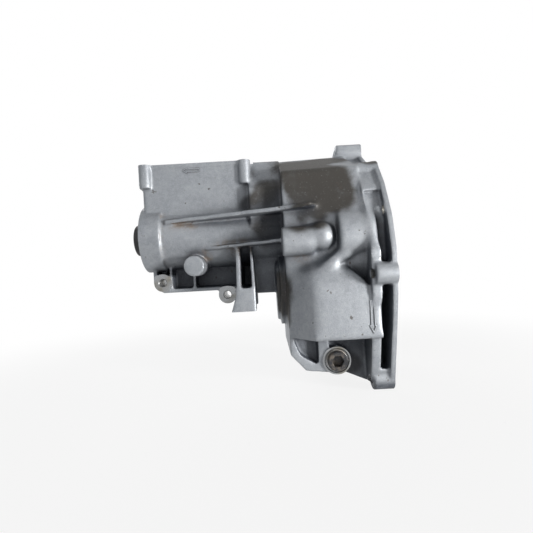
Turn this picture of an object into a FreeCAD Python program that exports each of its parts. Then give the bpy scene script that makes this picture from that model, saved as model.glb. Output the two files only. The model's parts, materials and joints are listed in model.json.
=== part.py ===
import FreeCAD, Part
import math
import os

# Extension housing of a rear-drive manual gearbox. Millimetres.
# +X is forward, +Y is the vehicle's left, +Z is up. The origin is where the output shaft's axis
# meets the front mating face, so the whole casting lies at negative X.

V = FreeCAD.Vector

# Front flange and its bolts
FLANGE_LIP = 5.5
FLANGE_BLOCK = 26.0
FLANGE_STEP_IN = 3.0
FLANGE_FACE_WIDTH = 11.0
FLANGE_FACE_DEPTH = 42.0
TROUGH_FRONT = 5.5
TROUGH_REAR = 15.5
TROUGH_TOP = 36.0
TROUGH_BOTTOM = -163.0
TROUGH_FLARE = 9.0
TROUGH_FLARE_BOTTOM = -24.0
FLANGE_BOSS_R = 12.2
FLANGE_BOSS_LENGTH = 23.0
TOP_BOSS_LENGTH = 33.0
FLANGE_HOLE_R = 5.4
FLANGE_HOLE_WALL = 4.5
DOWEL_HOLE_R = 5.0
DOWEL_HOLE_DEPTH = 7.0
FLANGE_BOLTS = {
    "top": (30.0, 106.0),
    "near_corner": (-42.0, 62.5),
    "near_middle": (-93.0, -56.0),
    "near_bottom": (-60.0, -177.0),
    "far_bottom": (62.0, -177.0),
    "far_middle": (104.0, -50.0),
    "far_corner": (84.0, 58.0),
}
DOWEL_PLACES = [(-82.0, 12.0), (86.0, -122.0)]

# Bell: the wide front part
BELL_REAR = 114.0
BELL_WALL = 6.0
REAR_WALL = 9.0
CORNER_CUT_X = 17.0
CORNER_CUT_Z = 20.0
BELL_FLOOR = -165.5
FLOOR_RAMP_REAR = 58.0
FLOOR_RAMP_BOTTOM = -182.0
SKIRT_WALL_Y = -50.0
SKIRT_NEAR = -60.0

# Lobes on the near side of the bell
LOBE_NEAR = -91.0
LOBE_REAR_NEAR = -60.0
LOBE_ROOT = -36.0
LOBE_WALL = 6.0
TEARDROP_FLOOR = -72.0
SADDLE_NEAR = -84.0
LOWER_LOBE_TOP = -37.0
LOWER_LOBE_BOTTOM = -126.0
LOWER_LOBE_REAR = 88.0
UPPER_LOBE_R = 30.0
UPPER_LOBE_REAR = 56.0
UPPER_LOBE_Y = -61.0
UPPER_LOBE_Z = -12.0
RAIL_BOSS_R = 16.5
RAIL_BOSS_REAR = 117.0
RAIL_BOSS_FRONT = 82.0
RAIL_BOSS_Y = -70.0
RAIL_BOSS_Z = -16.0
DOME_R = 16.0
DOME_X = -73.0
DOME_Y = -72.0
DOME_Z = -12.0

# Countershaft bearing boss on the rear wall
COUNTER_Y = -8.0
COUNTER_Z = -72.0
COUNTER_BOSS_R = 44.0
COUNTER_BOSS_REAR = 125.0
COUNTER_STEP_R = 38.0
COUNTER_STEP = 4.0
CUP_R = 31.0
CUP_BORE_R = 24.5
CUP_TAPER = 2.5
CUP_WIDTH = 16.0
CUP_HUB_WALL = 6.0
SHIM_THICKNESS = 1.2
COUNTER_FLOOR = 7.0

# Tail: tube, end boss, bushing and seal
TAIL_FACE = 287.0
TAIL_BOSS_R = 42.0
TAIL_BOSS_LENGTH = 25.0
TUBE_R = 39.0
PASSAGE_R = 31.0
JOURNAL_R = 17.5
BUSHING_CLEARANCE = 0.05
BUSHING_WALL = 2.5
BUSHING_LENGTH = 40.0
BUSHING_SEAT_FRONT = 228.0
SEAL_R = 29.0
SEAL_DEPTH = 12.0
SEAL_RECESS = 0.8
SEAL_SHELL_WALL = 1.4
SEAL_SHELL_BORE_R = 21.5
SEAL_RELIEF_R = 25.0
SEAL_LIP_LENGTH = 8.5
SEAL_LIP_CLEARANCE = 0.1
LIP_THICKNESS = 1.6
LIP_END = 0.8
SPRING_R = 1.1
SPRING_PLAY = 0.05
NOSE_R = 19.7
NOSE_OUT = 13.5
NOSE_BORE_R = 17.8
NOSE_ROUND = 1.6

# Shifter tower
TOWER_REAR = 283.5
TOWER_FRONT = 151.5
TOWER_NEAR = -28.0
TOWER_FAR = 48.0
TOWER_TOP = 89.0
TOWER_WALL = 8.5
TOWER_CORNER_R = 5.0
TOWER_FLOOR = 46.0
TOWER_DEEP_REAR = 222.0
TOWER_LIP = 4.0
TOWER_LIP_OUT = 1.5
TOWER_BOSS_R = 7.8
TOWER_BOSS_BOTTOM = 63.0
TOWER_BOLT_X = (-278.8, -157.0)
TOWER_BOLT_INSET = 1.0
TOWER_HOLE_R = 3.4
TOWER_HOLE_DEPTH = 20.0

# Neck between the tower and the bell, and the shift rail through it
NECK_NEAR = -40.0
NECK_FAR = 44.0
NECK_SHOULDER = 52.0
NECK_RIDGE_Y = -6.0
NECK_TOP = 92.5
NECK_BOTTOM = 5.0
RAIL_Y = 8.0
RAIL_Z = 62.0
RAIL_R = 8.0
RAIL_CLEARANCE = 0.05
RAIL_BUSHING_WALL = 2.0
RAIL_BUSHING_LENGTH = 14.0
RAIL_PLUG_THICKNESS = 4.0
RAIL_PLUG_WALL = 1.2
RAIL_BULKHEAD = 10.0

# Shelf ribs along the near side
SHELF_THICKNESS = 5.0
SHELF_REAR = 256.0
SHELF_REAR_Z = 15.0
SHELF_FRONT_Z = 20.0
LOWER_RIB_THICKNESS = 4.0
LOWER_RIB_REAR = 208.0
LOWER_RIB_REAR_Z = -19.0
LOWER_RIB_FRONT_Z = -15.0

# Keel under the tube, with the torque arm ears
KEEL_NEAR = -14.0
KEEL_FAR = 30.0
KEEL_WEB_NEAR = 4.0
KEEL_WEB_FAR = 12.0
KEEL_RIM = 5.0
KEEL_BOTTOM = -69.0
KEEL_BOX_BOTTOM = -75.0
EAR_R = 11.5
EAR_HOLE_R = 4.6
EARS = [(-268.0, -56.0), (-187.0, -75.0)]
KEEL_WEB_XS = (-257.0, -228.0)
DISC_BOSS_X = -221.0
DISC_BOSS_Z = -37.0
DISC_BOSS_R = 12.2
DISC_BOSS_NEAR = -50.0

# Crossmember mount
MOUNT_BOTTOM = -93.0
MOUNT_REAR = 173.0
MOUNT_FRONT = 150.5
MOUNT_FLARE = 7.0
MOUNT_TOP = -66.0
MOUNT_HALF_WIDTH = 58.0
MOUNT_DEPTH = 30.0
MOUNT_RIB = 5.5
MOUNT_HOLE_R = 5.1
MOUNT_HOLE_DEPTH = 20.0

# Drain plug
DRAIN_X = -61.5
DRAIN_Z = -154.0
DRAIN_RIB = 5.0
DRAIN_RIB_FRONT = -70.0
DRAIN_FACE = -58.0
DRAIN_RIM = 3.0
DRAIN_SEAT_R = 13.5
DRAIN_BOSS_R = 16.0
DRAIN_HEAD_R = 11.5
DRAIN_HEAD = 7.0
DRAIN_CHAMFER = 1.2
DRAIN_THREAD_R = 9.0
DRAIN_THREAD = 13.0
DRAIN_CLEARANCE = 0.05
DRAIN_SOCKET = 12.0
DRAIN_SOCKET_DEPTH = 8.0
DRAIN_WASHER = 1.5
DRAIN_WASHER_R = 12.0
DRAIN_MAGNET_R = 4.5
DRAIN_MAGNET = 5.0
DRAIN_MAGNET_SEAT = 3.0

# Output speed sensor on the far side of the tube
SENSOR_X = -210.0
SENSOR_Z = -6.0
SENSOR_R = 8.0
SENSOR_BOSS_R = 13.0
SENSOR_FACE = 49.0
SENSOR_TIP = 24.0
SENSOR_CAP = 14.0
SENSOR_CLEARANCE = 0.05
SENSOR_PLUG = 26.0
SENSOR_EAR = 18.0
SENSOR_EAR_THICKNESS = 5.0
SENSOR_BOLT_R = 3.0
SENSOR_BOLT_LENGTH = 14.0
SENSOR_BOLT_HEAD_R = 5.0
SENSOR_BOLT_HEAD = 6.0
ORING_R = 1.0
ORING_Y = 40.0

# Reverse lockout on the far side of the tower
LOCKOUT_X = -190.0
LOCKOUT_Z = 62.0
LOCKOUT_BOSS_R = 17.0
LOCKOUT_FACE = 68.0
LOCKOUT_BORE_R = 11.0
LOCKOUT_CAP_R = 15.0
LOCKOUT_CAP = 8.0
LOCKOUT_CAP_THREAD = 6.0
LOCKOUT_WASHER = 1.5
LOCKOUT_PLUNGER_R = 6.0
LOCKOUT_COLLAR = 4.0
LOCKOUT_COLLAR_GAP = 1.0
LOCKOUT_TRAVEL = 8.0
LOCKOUT_CLEARANCE = 0.05
LOCKOUT_NOSE_WALL = 4.0
SPRING_WIRE_R = 0.8
SPRING_HALF_RINGS = 9

# Magnet in the bottom of the bell that catches chips
SUMP_MAGNET_X = -40.0
SUMP_MAGNET_Y = 6.0
SUMP_MAGNET_R = 14.0
SUMP_MAGNET_HEIGHT = 4.0
SUMP_SEAT_TOP = -155.0

# Sections of the casting, as (Y, Z, corner radius)
FLANGE_OUTLINE = [
    (18.0, 98.0, 6.0),
    (-4.0, 84.0, 20.0),
    (-46.0, 75.0, 10.0),
    (-72.0, 44.0, 30.0),
    (-92.0, 6.0, 40.0),
    (-101.0, -32.0, 30.0),
    (-98.0, -78.0, 20.0),
    (-86.0, -126.0, 40.0),
    (-71.5, -178.0, 8.0),
    (-64.0, -184.0, 6.0),
    (66.0, -184.0, 10.0),
    (90.0, -130.0, 40.0),
    (107.0, -62.0, 40.0),
    (108.0, 0.0, 50.0),
    (90.0, 58.0, 16.0),
    (50.0, 98.0, 20.0),
]
BELL_REAR_SECTION = [
    (8.0, 95.0, 12.0),
    (-52.0, 67.0, 9.0),
    (-60.0, 18.0, 30.0),
    (-62.0, -40.0, 30.0),
    (SKIRT_WALL_Y, LOWER_LOBE_BOTTOM + 8.0, 12.0),
    (SKIRT_WALL_Y, BELL_FLOOR, 8.0),
    (50.0, BELL_FLOOR, 12.0),
    (68.0, -112.0, 30.0),
    (78.0, -30.0, 40.0),
    (70.0, 34.0, 30.0),
    (46.0, 82.0, 14.0),
]
BELL_FRONT_SECTION = [
    (22.0, 101.0, 10.0),
    (-54.0, 69.0, 10.0),
    (-80.0, 12.0, 40.0),
    (-84.0, -40.0, 40.0),
    (SKIRT_WALL_Y, LOWER_LOBE_BOTTOM + 8.0, 12.0),
    (SKIRT_WALL_Y, BELL_FLOOR - 6.0, 8.0),
    (58.0, BELL_FLOOR - 6.0, 12.0),
    (84.0, -118.0, 30.0),
    (98.0, -30.0, 50.0),
    (86.0, 36.0, 40.0),
    (50.0, 91.0, 18.0),
]


def on_x(x):
    """Places a flat (Y, Z) point in the plane X = x."""
    return lambda u, v: V(x, u, v)


def on_y(y):
    """Places a flat (X, Z) point in the plane Y = y."""
    return lambda u, v: V(u, y, v)


def on_z(z):
    """Places a flat (X, Y) point in the plane Z = z."""
    return lambda u, v: V(u, v, z)


def rounded_wire(points, place):
    """A closed wire through (u, v, radius) corners, each rounded by an arc."""
    edges = []
    starts = []
    count = len(points)
    for i in range(count):
        before = points[i - 1]
        here = points[i]
        after = points[(i + 1) % count]
        to_before = V(before[0] - here[0], before[1] - here[1], 0).normalize()
        to_after = V(after[0] - here[0], after[1] - here[1], 0).normalize()
        half = to_before.getAngle(to_after) / 2
        back = here[2] / math.tan(half)
        centre = V(here[0], here[1], 0) + (to_before + to_after).normalize() * (here[2] / math.sin(half))
        corner = V(here[0], here[1], 0)
        first = corner + to_before * back
        last = corner + to_after * back
        middle = centre + (corner - centre).normalize() * here[2]
        starts.append((first, middle, last))
    for i in range(count):
        first, middle, last = starts[i]
        following = starts[(i + 1) % count][0]
        edges.append(Part.Arc(place(first.x, first.y), place(middle.x, middle.y), place(last.x, last.y)).toShape())
        edges.append(Part.LineSegment(place(last.x, last.y), place(following.x, following.y)).toShape())
    return Part.Wire(edges)


def inset(points, distance):
    """The same rounded outline moved inwards, corner by corner."""
    count = len(points)
    area = sum(points[i - 1][0] * points[i][1] - points[i][0] * points[i - 1][1] for i in range(count))
    side = 1 if area > 0 else -1
    result = []
    for i in range(count):
        before = points[i - 1]
        here = points[i]
        after = points[(i + 1) % count]
        d1 = V(here[0] - before[0], here[1] - before[1], 0).normalize()
        d2 = V(after[0] - here[0], after[1] - here[1], 0).normalize()
        n1 = V(-d1.y, d1.x, 0) * side
        n2 = V(-d2.y, d2.x, 0) * side
        bisector = (n1 + n2).normalize()
        moved = bisector * (distance / bisector.dot(n1))
        turn_out = d1.cross(d2).z * side > 0
        radius = here[2] - distance if turn_out else here[2] + distance
        result.append((here[0] + moved.x, here[1] + moved.y, max(radius, 1.0)))
    return result


def prism(points, place_from, along):
    """A rounded outline pushed along a vector."""
    return Part.Face(rounded_wire(points, place_from)).extrude(along)


def prism_x(points, x_from, x_to):
    return prism(points, on_x(x_from), V(x_to - x_from, 0, 0))


def sharp_prism_x(points, x_from, x_to):
    corners = [V(x_from, y, z) for y, z in points]
    return Part.Face(Part.makePolygon(corners + corners[:1])).extrude(V(x_to - x_from, 0, 0))


def sharp_prism_y(points, y_from, y_to):
    corners = [V(x, y_from, z) for x, z in points]
    return Part.Face(Part.makePolygon(corners + corners[:1])).extrude(V(0, y_to - y_from, 0))


def sharp_prism_z(points, z_from, z_to):
    corners = [V(x, y, z_from) for x, y in points]
    return Part.Face(Part.makePolygon(corners + corners[:1])).extrude(V(0, 0, z_to - z_from))


def loft_x(section_a, x_a, section_b, x_b):
    """A ruled solid between two rounded outlines with the same corners."""
    return Part.makeLoft([rounded_wire(section_a, on_x(x_a)), rounded_wire(section_b, on_x(x_b))], True, True)


def box(x0, x1, y0, y1, z0, z1):
    return Part.makeBox(x1 - x0, y1 - y0, z1 - z0, V(x0, y0, z0))


def cyl_x(x0, x1, y, z, r):
    return Part.makeCylinder(r, x1 - x0, V(x0, y, z), V(1, 0, 0))


def cyl_y(y0, y1, x, z, r):
    return Part.makeCylinder(r, y1 - y0, V(x, y0, z), V(0, 1, 0))


def cyl_z(z0, z1, x, y, r):
    return Part.makeCylinder(r, z1 - z0, V(x, y, z0), V(0, 0, 1))


def tube_x(x0, x1, r_out, r_in, y=0.0, z=0.0):
    return cyl_x(x0, x1, y, z, r_out).cut(cyl_x(x0 - 1, x1 + 1, y, z, r_in))


def revolve_x(profile):
    """Turns an (X, radius) profile about the output axis."""
    corners = [V(x, 0, r) for x, r in profile]
    return Part.Face(Part.makePolygon(corners + corners[:1])).revolve(V(0, 0, 0), V(1, 0, 0), 360)


def lobe_section(near, top, bottom, upper_r):
    return [(LOBE_ROOT, top, 4.0), (near, top, upper_r), (near, bottom, 4.0), (LOBE_ROOT, bottom, 4.0)]


def flange():
    """The flange: a thin lip, a trough behind it and a thicker block behind the trough."""
    lip = prism_x(FLANGE_OUTLINE, -FLANGE_LIP, 0)
    stepped = inset(FLANGE_OUTLINE, FLANGE_STEP_IN)
    block = prism_x(stepped, -FLANGE_BLOCK, -FLANGE_LIP)
    trough_outer = prism_x(inset(FLANGE_OUTLINE, -5.0), -TROUGH_REAR, -TROUGH_FRONT)
    bell_wall = prism_x(BELL_FRONT_SECTION, -TROUGH_REAR - 1, -TROUGH_FRONT + 1)
    trough = trough_outer.cut(bell_wall)
    trough = trough.cut(box(-TROUGH_REAR - 1, 0, -130, 130, TROUGH_TOP, 140.0))
    trough = trough.cut(box(-TROUGH_REAR - 1, 0, -130, 130, -200.0, TROUGH_BOTTOM))
    flare = [
        (-TROUGH_REAR + 1, TROUGH_FLARE_BOTTOM),
        (-TROUGH_REAR, TROUGH_FLARE_BOTTOM),
        (-TROUGH_REAR - TROUGH_FLARE, TROUGH_TOP - 12.0),
        (-TROUGH_REAR - TROUGH_FLARE, TROUGH_TOP),
        (-TROUGH_REAR + 1, TROUGH_TOP),
    ]
    wide = sharp_prism_y(flare, -130.0, -60.0).cut(prism_x(BELL_FRONT_SECTION, -FLANGE_BLOCK, 0))
    return lip.fuse(block).cut(trough).cut(wide)


def flange_bosses():
    bosses = []
    for name, (y, z) in FLANGE_BOLTS.items():
        length = TOP_BOSS_LENGTH if name == "top" else FLANGE_BOSS_LENGTH
        bosses.append(cyl_x(-length, 0, y, z, FLANGE_BOSS_R))
    return bosses


def corner_hub():
    """The wall round the near corner's bolt hole where the bell's mouth comes close to it."""
    y, z = FLANGE_BOLTS["near_corner"]
    return cyl_x(-FLANGE_BOSS_LENGTH, 0, y, z, FLANGE_HOLE_R + FLANGE_HOLE_WALL)


def top_gusset():
    """The slanted foot that carries the top bolt boss down to the roof of the bell."""
    y, z = FLANGE_BOLTS["top"]
    side = [
        (-TOP_BOSS_LENGTH - 10.0, 80.0),
        (-TOP_BOSS_LENGTH, z + FLANGE_BOSS_R - 3.0),
        (0.0, z + FLANGE_BOSS_R - 3.0),
        (0.0, 80.0),
    ]
    return sharp_prism_y(side, y - FLANGE_BOSS_R + 1.0, y + FLANGE_BOSS_R - 1.0)


def bell_outer():
    outer = loft_x(BELL_REAR_SECTION, -BELL_REAR, BELL_FRONT_SECTION, -FLANGE_BLOCK + 1)
    corner = [
        (-BELL_REAR - 1, BELL_FLOOR + CORNER_CUT_Z),
        (-BELL_REAR, BELL_FLOOR + CORNER_CUT_Z),
        (-BELL_REAR + CORNER_CUT_X, BELL_FLOOR),
        (-BELL_REAR + CORNER_CUT_X, BELL_FLOOR - 20),
        (-BELL_REAR - 1, BELL_FLOOR - 20),
    ]
    return outer.cut(sharp_prism_y(corner, -120, 120))


def bell_inner():
    front = inset(BELL_FRONT_SECTION, BELL_WALL + 2.0)
    rear = inset(BELL_REAR_SECTION, BELL_WALL)
    inner = loft_x(rear, -BELL_REAR + REAR_WALL, front, -FLANGE_BLOCK + 1)
    mouth = prism_x(front, -FLANGE_BLOCK + 1, 1)
    corner = [
        (-BELL_REAR, BELL_FLOOR + CORNER_CUT_Z + REAR_WALL),
        (-BELL_REAR + REAR_WALL, BELL_FLOOR + CORNER_CUT_Z + REAR_WALL),
        (-BELL_REAR + CORNER_CUT_X + REAR_WALL, BELL_FLOOR + BELL_WALL),
        (-BELL_REAR + CORNER_CUT_X + REAR_WALL, BELL_FLOOR - 20),
        (-BELL_REAR, BELL_FLOOR - 20),
    ]
    hollow = inner.cut(sharp_prism_y(corner, -120, 120)).fuse(mouth)
    beyond = box(-FLANGE_FACE_DEPTH, 2, -130, 130, -200, 140)
    beyond = beyond.cut(prism_x(inset(FLANGE_OUTLINE, FLANGE_FACE_WIDTH), -FLANGE_FACE_DEPTH - 1, 3))
    return hollow.cut(beyond)


def lobes_outer():
    """The bulges over the gears on the near side, less the teardrop hollow between them."""
    rear = lobe_section(LOBE_REAR_NEAR, LOWER_LOBE_TOP - 8.0, LOWER_LOBE_BOTTOM, 16.0)
    front = lobe_section(LOBE_NEAR, LOWER_LOBE_TOP, LOWER_LOBE_BOTTOM, 38.0)
    slope = loft_x(rear, -BELL_REAR, front, -LOWER_LOBE_REAR)
    lower = prism_x(front, -LOWER_LOBE_REAR, -TROUGH_REAR)
    upper = cyl_x(-UPPER_LOBE_REAR, -TROUGH_REAR, UPPER_LOBE_Y, UPPER_LOBE_Z, UPPER_LOBE_R)
    rail_boss = cyl_x(-RAIL_BOSS_REAR, -RAIL_BOSS_FRONT, RAIL_BOSS_Y, RAIL_BOSS_Z, RAIL_BOSS_R)
    dome = Part.makeSphere(DOME_R)
    dome.rotate(V(0, 0, 0), V(0, 1, 0), 90)
    dome.rotate(V(0, 0, 0), V(1, 0, 0), 90)
    dome.translate(V(DOME_X, DOME_Y, DOME_Z))
    hollow = teardrop()
    return [slope, lower.cut(hollow), upper.cut(hollow), rail_boss, dome, saddle()]


def saddle():
    """The shoulder that joins the two lobes to the rear of the teardrop."""
    outline = [
        (-84.0, -60.0, 3.0),
        (-76.0, -42.0, 8.0),
        (-54.0, -27.0, 8.0),
        (-40.0, -20.0, 3.0),
        (-40.0, -36.0, 2.0),
        (-57.0, -42.0, 3.0),
        (-61.0, -60.0, 3.0),
    ]
    return prism(outline, on_y(SADDLE_NEAR), V(0, LOBE_ROOT - SADDLE_NEAR - 20.0, 0))


def floor_ramp():
    """The wedge that carries the bell's floor down to the flange's bottom edge."""
    side = [
        (-FLOOR_RAMP_REAR, BELL_FLOOR + 2.0),
        (-FLOOR_RAMP_REAR, BELL_FLOOR - 2.0),
        (-FLANGE_BLOCK + 1, FLOOR_RAMP_BOTTOM),
        (-FLANGE_BLOCK + 1, BELL_FLOOR + 2.0),
    ]
    return sharp_prism_y(side, SKIRT_WALL_Y, 58.0)


def lobes_inner():
    """The space for the gears inside the two lobes."""
    w = LOBE_WALL
    rear = lobe_section(LOBE_REAR_NEAR + w, LOWER_LOBE_TOP - 8.0 - w, LOWER_LOBE_BOTTOM + w, 10.0)
    front = lobe_section(LOBE_NEAR + w, LOWER_LOBE_TOP - w, LOWER_LOBE_BOTTOM + w, 32.0)
    slope = loft_x(rear, -BELL_REAR + REAR_WALL, front, -LOWER_LOBE_REAR + w / 2)
    lower = prism_x(front, -LOWER_LOBE_REAR + w / 2, -TROUGH_REAR - w)
    upper = cyl_x(-UPPER_LOBE_REAR + w, -TROUGH_REAR - w, UPPER_LOBE_Y, UPPER_LOBE_Z, UPPER_LOBE_R - w)
    return [slope, lower.cut(teardrop(w)), upper.cut(teardrop(w))]


def teardrop(grow=0.0):
    """The hollow between the lobes, beside the middle bolt boss."""
    outline = [
        (-54.0, -41.0, 3.0),
        (-19.0, -33.0, 3.0),
        (-TROUGH_REAR + 1, -86.0, 2.0),
        (-34.0, -60.0, 16.0),
    ]
    if grow:
        outline = inset(outline, -grow)
    return prism(outline, on_y(-110.0), V(0, 110.0 + TEARDROP_FLOOR + grow, 0))


def lower_skirt():
    """The plate under the lower lobe, with a pocket at its rear and a wide one round the drain plug."""
    outline = [
        (-BELL_REAR, LOWER_LOBE_BOTTOM + 1),
        (-FLANGE_BLOCK + 1, LOWER_LOBE_BOTTOM + 1),
        (-FLANGE_BLOCK + 1, BELL_FLOOR - 7.0),
        (-BELL_REAR + CORNER_CUT_X, BELL_FLOOR + 1.0),
        (-BELL_REAR, BELL_FLOOR + CORNER_CUT_Z),
    ]
    rear_pocket = [
        (-BELL_REAR + 4.0, LOWER_LOBE_BOTTOM - 1.0, 2.0),
        (DRAIN_X - DRAIN_BOSS_R - DRAIN_RIB, LOWER_LOBE_BOTTOM - 1.0, 2.0),
        (DRAIN_X - DRAIN_BOSS_R - DRAIN_RIB, BELL_FLOOR + 7.0, 3.0),
        (-103.0, -146.0, 14.0),
    ]
    front_pocket = [
        (DRAIN_RIB_FRONT, LOWER_LOBE_BOTTOM - 1.0, 2.0),
        (-FLANGE_BLOCK, LOWER_LOBE_BOTTOM - 1.0, 1.0),
        (-FLANGE_BLOCK, BELL_FLOOR - 20.0, 1.0),
        (DRAIN_RIB_FRONT, BELL_FLOOR - 20.0, 2.0),
    ]
    plate = sharp_prism_y(outline, SKIRT_NEAR, SKIRT_WALL_Y + 3.0)
    for pocket in (rear_pocket, front_pocket):
        plate = plate.cut(prism(pocket, on_y(SKIRT_NEAR - 1), V(0, SKIRT_WALL_Y - SKIRT_NEAR + 1, 0)))
    return plate


def counter_boss():
    front = -BELL_REAR + 2
    boss = cyl_x(-COUNTER_BOSS_REAR + COUNTER_STEP, front, COUNTER_Y, COUNTER_Z, COUNTER_BOSS_R)
    step = cyl_x(-COUNTER_BOSS_REAR, front, COUNTER_Y, COUNTER_Z, COUNTER_STEP_R)
    seat_front = -COUNTER_BOSS_REAR + COUNTER_FLOOR + SHIM_THICKNESS + CUP_WIDTH
    hub = cyl_x(-BELL_REAR, seat_front, COUNTER_Y, COUNTER_Z, CUP_R + CUP_HUB_WALL)
    return [boss, step], hub


def counter_bore():
    floor = -COUNTER_BOSS_REAR + COUNTER_FLOOR
    seat = cyl_x(floor, 0.0, COUNTER_Y, COUNTER_Z, CUP_R)
    return seat


def tail_outer():
    boss = cyl_x(-TAIL_FACE, -TAIL_FACE + TAIL_BOSS_LENGTH, 0, 0, TAIL_BOSS_R)
    tube = cyl_x(-TAIL_FACE + 1, -BELL_REAR + 1, 0, 0, TUBE_R)
    return [boss, tube]


def tail_bores():
    seal = cyl_x(-TAIL_FACE - 1, -TAIL_FACE + SEAL_DEPTH, 0, 0, SEAL_R)
    relief = cyl_x(-TAIL_FACE, -BUSHING_SEAT_FRONT - BUSHING_LENGTH, 0, 0, SEAL_RELIEF_R)
    bushing = cyl_x(-TAIL_FACE, -BUSHING_SEAT_FRONT + 1, 0, 0, JOURNAL_R + BUSHING_CLEARANCE + BUSHING_WALL)
    passage = cyl_x(-BUSHING_SEAT_FRONT, 1.0, 0, 0, PASSAGE_R)
    return [seal, relief, bushing, passage]


def tower_outline(grow):
    return [
        (-TOWER_REAR - grow, TOWER_NEAR - grow, TOWER_CORNER_R),
        (-TOWER_FRONT + grow, TOWER_NEAR - grow, TOWER_CORNER_R),
        (-TOWER_FRONT + grow, TOWER_FAR + grow, TOWER_CORNER_R),
        (-TOWER_REAR - grow, TOWER_FAR + grow, TOWER_CORNER_R),
    ]


def tower_bolts():
    return [(x, y) for x in TOWER_BOLT_X for y in (TOWER_NEAR + TOWER_BOLT_INSET, TOWER_FAR - TOWER_BOLT_INSET)]


def tower_outer():
    body = prism(tower_outline(0.0), on_z(0.0), V(0, 0, TOWER_TOP))
    lip = prism(tower_outline(TOWER_LIP_OUT), on_z(TOWER_TOP - TOWER_LIP), V(0, 0, TOWER_LIP))
    solids = [body, lip]
    for x, y in tower_bolts():
        solids.append(cyl_z(TOWER_BOSS_BOTTOM, TOWER_TOP, x, y, TOWER_BOSS_R))
        solids.append(Part.makeSphere(TOWER_BOSS_R, V(x, y, TOWER_BOSS_BOTTOM)).common(
            box(x - 20, x + 20, y - 20, y + 20, TOWER_BOSS_BOTTOM - 3.0, TOWER_BOSS_BOTTOM)))
    return solids


def tower_inner():
    w = TOWER_WALL
    shallow = [
        (-TOWER_REAR + w, TOWER_NEAR + w, 4.0),
        (-TOWER_FRONT - w, TOWER_NEAR + w, 4.0),
        (-TOWER_FRONT - w, TOWER_FAR - w, 4.0),
        (-TOWER_REAR + w, TOWER_FAR - w, 4.0),
    ]
    deep = [
        (-TOWER_DEEP_REAR, TOWER_NEAR + w, 4.0),
        (-TOWER_FRONT - w, TOWER_NEAR + w, 4.0),
        (-TOWER_FRONT - w, -TOWER_NEAR - w, 4.0),
        (-TOWER_DEEP_REAR, -TOWER_NEAR - w, 4.0),
    ]
    upper = prism(shallow, on_z(TOWER_FLOOR), V(0, 0, TOWER_TOP - TOWER_FLOOR + 1))
    lower = prism(deep, on_z(0.0), V(0, 0, TOWER_FLOOR + 1))
    return [upper, lower]


def tower_holes():
    return [cyl_z(TOWER_TOP - TOWER_HOLE_DEPTH, TOWER_TOP + 1, x, y, TOWER_HOLE_R) for x, y in tower_bolts()]


def neck_outer():
    section = [
        (NECK_NEAR, NECK_BOTTOM, 2.0),
        (NECK_NEAR, NECK_SHOULDER, 4.0),
        (NECK_RIDGE_Y, NECK_TOP, 6.0),
        (NECK_FAR - 10, NECK_TOP, 6.0),
        (NECK_FAR, NECK_SHOULDER, 4.0),
        (NECK_FAR, NECK_BOTTOM, 2.0),
    ]
    return prism_x(section, -TOWER_FRONT - 1, -BELL_REAR + 1)


def neck_inner():
    rear = -TOWER_FRONT - TOWER_WALL - 1
    front = -BELL_REAR - RAIL_BULKHEAD
    return box(rear, front, RAIL_Y - 20, RAIL_Y + 20, RAIL_Z - 14, RAIL_Z + 14)


def rail_hub():
    """The boss inside the tower's rear wall that carries the rear rail bushing."""
    return cyl_x(-TOWER_REAR + 1, -TOWER_REAR + RAIL_PLUG_THICKNESS + RAIL_BUSHING_LENGTH, RAIL_Y, RAIL_Z,
                 RAIL_R + RAIL_BUSHING_WALL + 4.0)


def rail_bores():
    seat = RAIL_R + RAIL_CLEARANCE + RAIL_BUSHING_WALL
    front = cyl_x(-BELL_REAR - RAIL_BULKHEAD - 1, -BELL_REAR + REAR_WALL + 1, RAIL_Y, RAIL_Z, seat)
    rear = cyl_x(-TOWER_REAR - 1, -TOWER_REAR + RAIL_PLUG_THICKNESS + RAIL_BUSHING_LENGTH + 1, RAIL_Y, RAIL_Z, seat)
    return [front, rear]


def shelf():
    """The long upper rib: narrow at the tail, wide at the bell."""
    outline = [
        (-SHELF_REAR, 0.0),
        (-SHELF_REAR, -38.5),
        (-BELL_REAR - 3, -66.0),
        (-84.0, -82.0),
        (-70.0, -60.0),
        (-70.0, 0.0),
    ]
    flat = sharp_prism_z(outline, 0.0, SHELF_THICKNESS)
    slope = math.degrees(math.atan2(SHELF_FRONT_Z - SHELF_REAR_Z, SHELF_REAR - BELL_REAR))
    flat.rotate(V(-SHELF_REAR, 0, 0), V(0, 1, 0), -slope)
    flat.translate(V(0, 0, SHELF_REAR_Z))
    return flat


def lower_rib():
    outline = [
        (-LOWER_RIB_REAR, 0.0),
        (-LOWER_RIB_REAR, -36.0),
        (-BELL_REAR - 3, -62.0),
        (-BELL_REAR + 4, -62.0),
        (-BELL_REAR + 4, 0.0),
    ]
    flat = sharp_prism_z(outline, 0.0, LOWER_RIB_THICKNESS)
    slope = math.degrees(math.atan2(LOWER_RIB_FRONT_Z - LOWER_RIB_REAR_Z, LOWER_RIB_REAR - BELL_REAR))
    flat.rotate(V(-LOWER_RIB_REAR, 0, 0), V(0, 1, 0), -slope)
    flat.translate(V(0, 0, LOWER_RIB_REAR_Z))
    return flat


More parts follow.
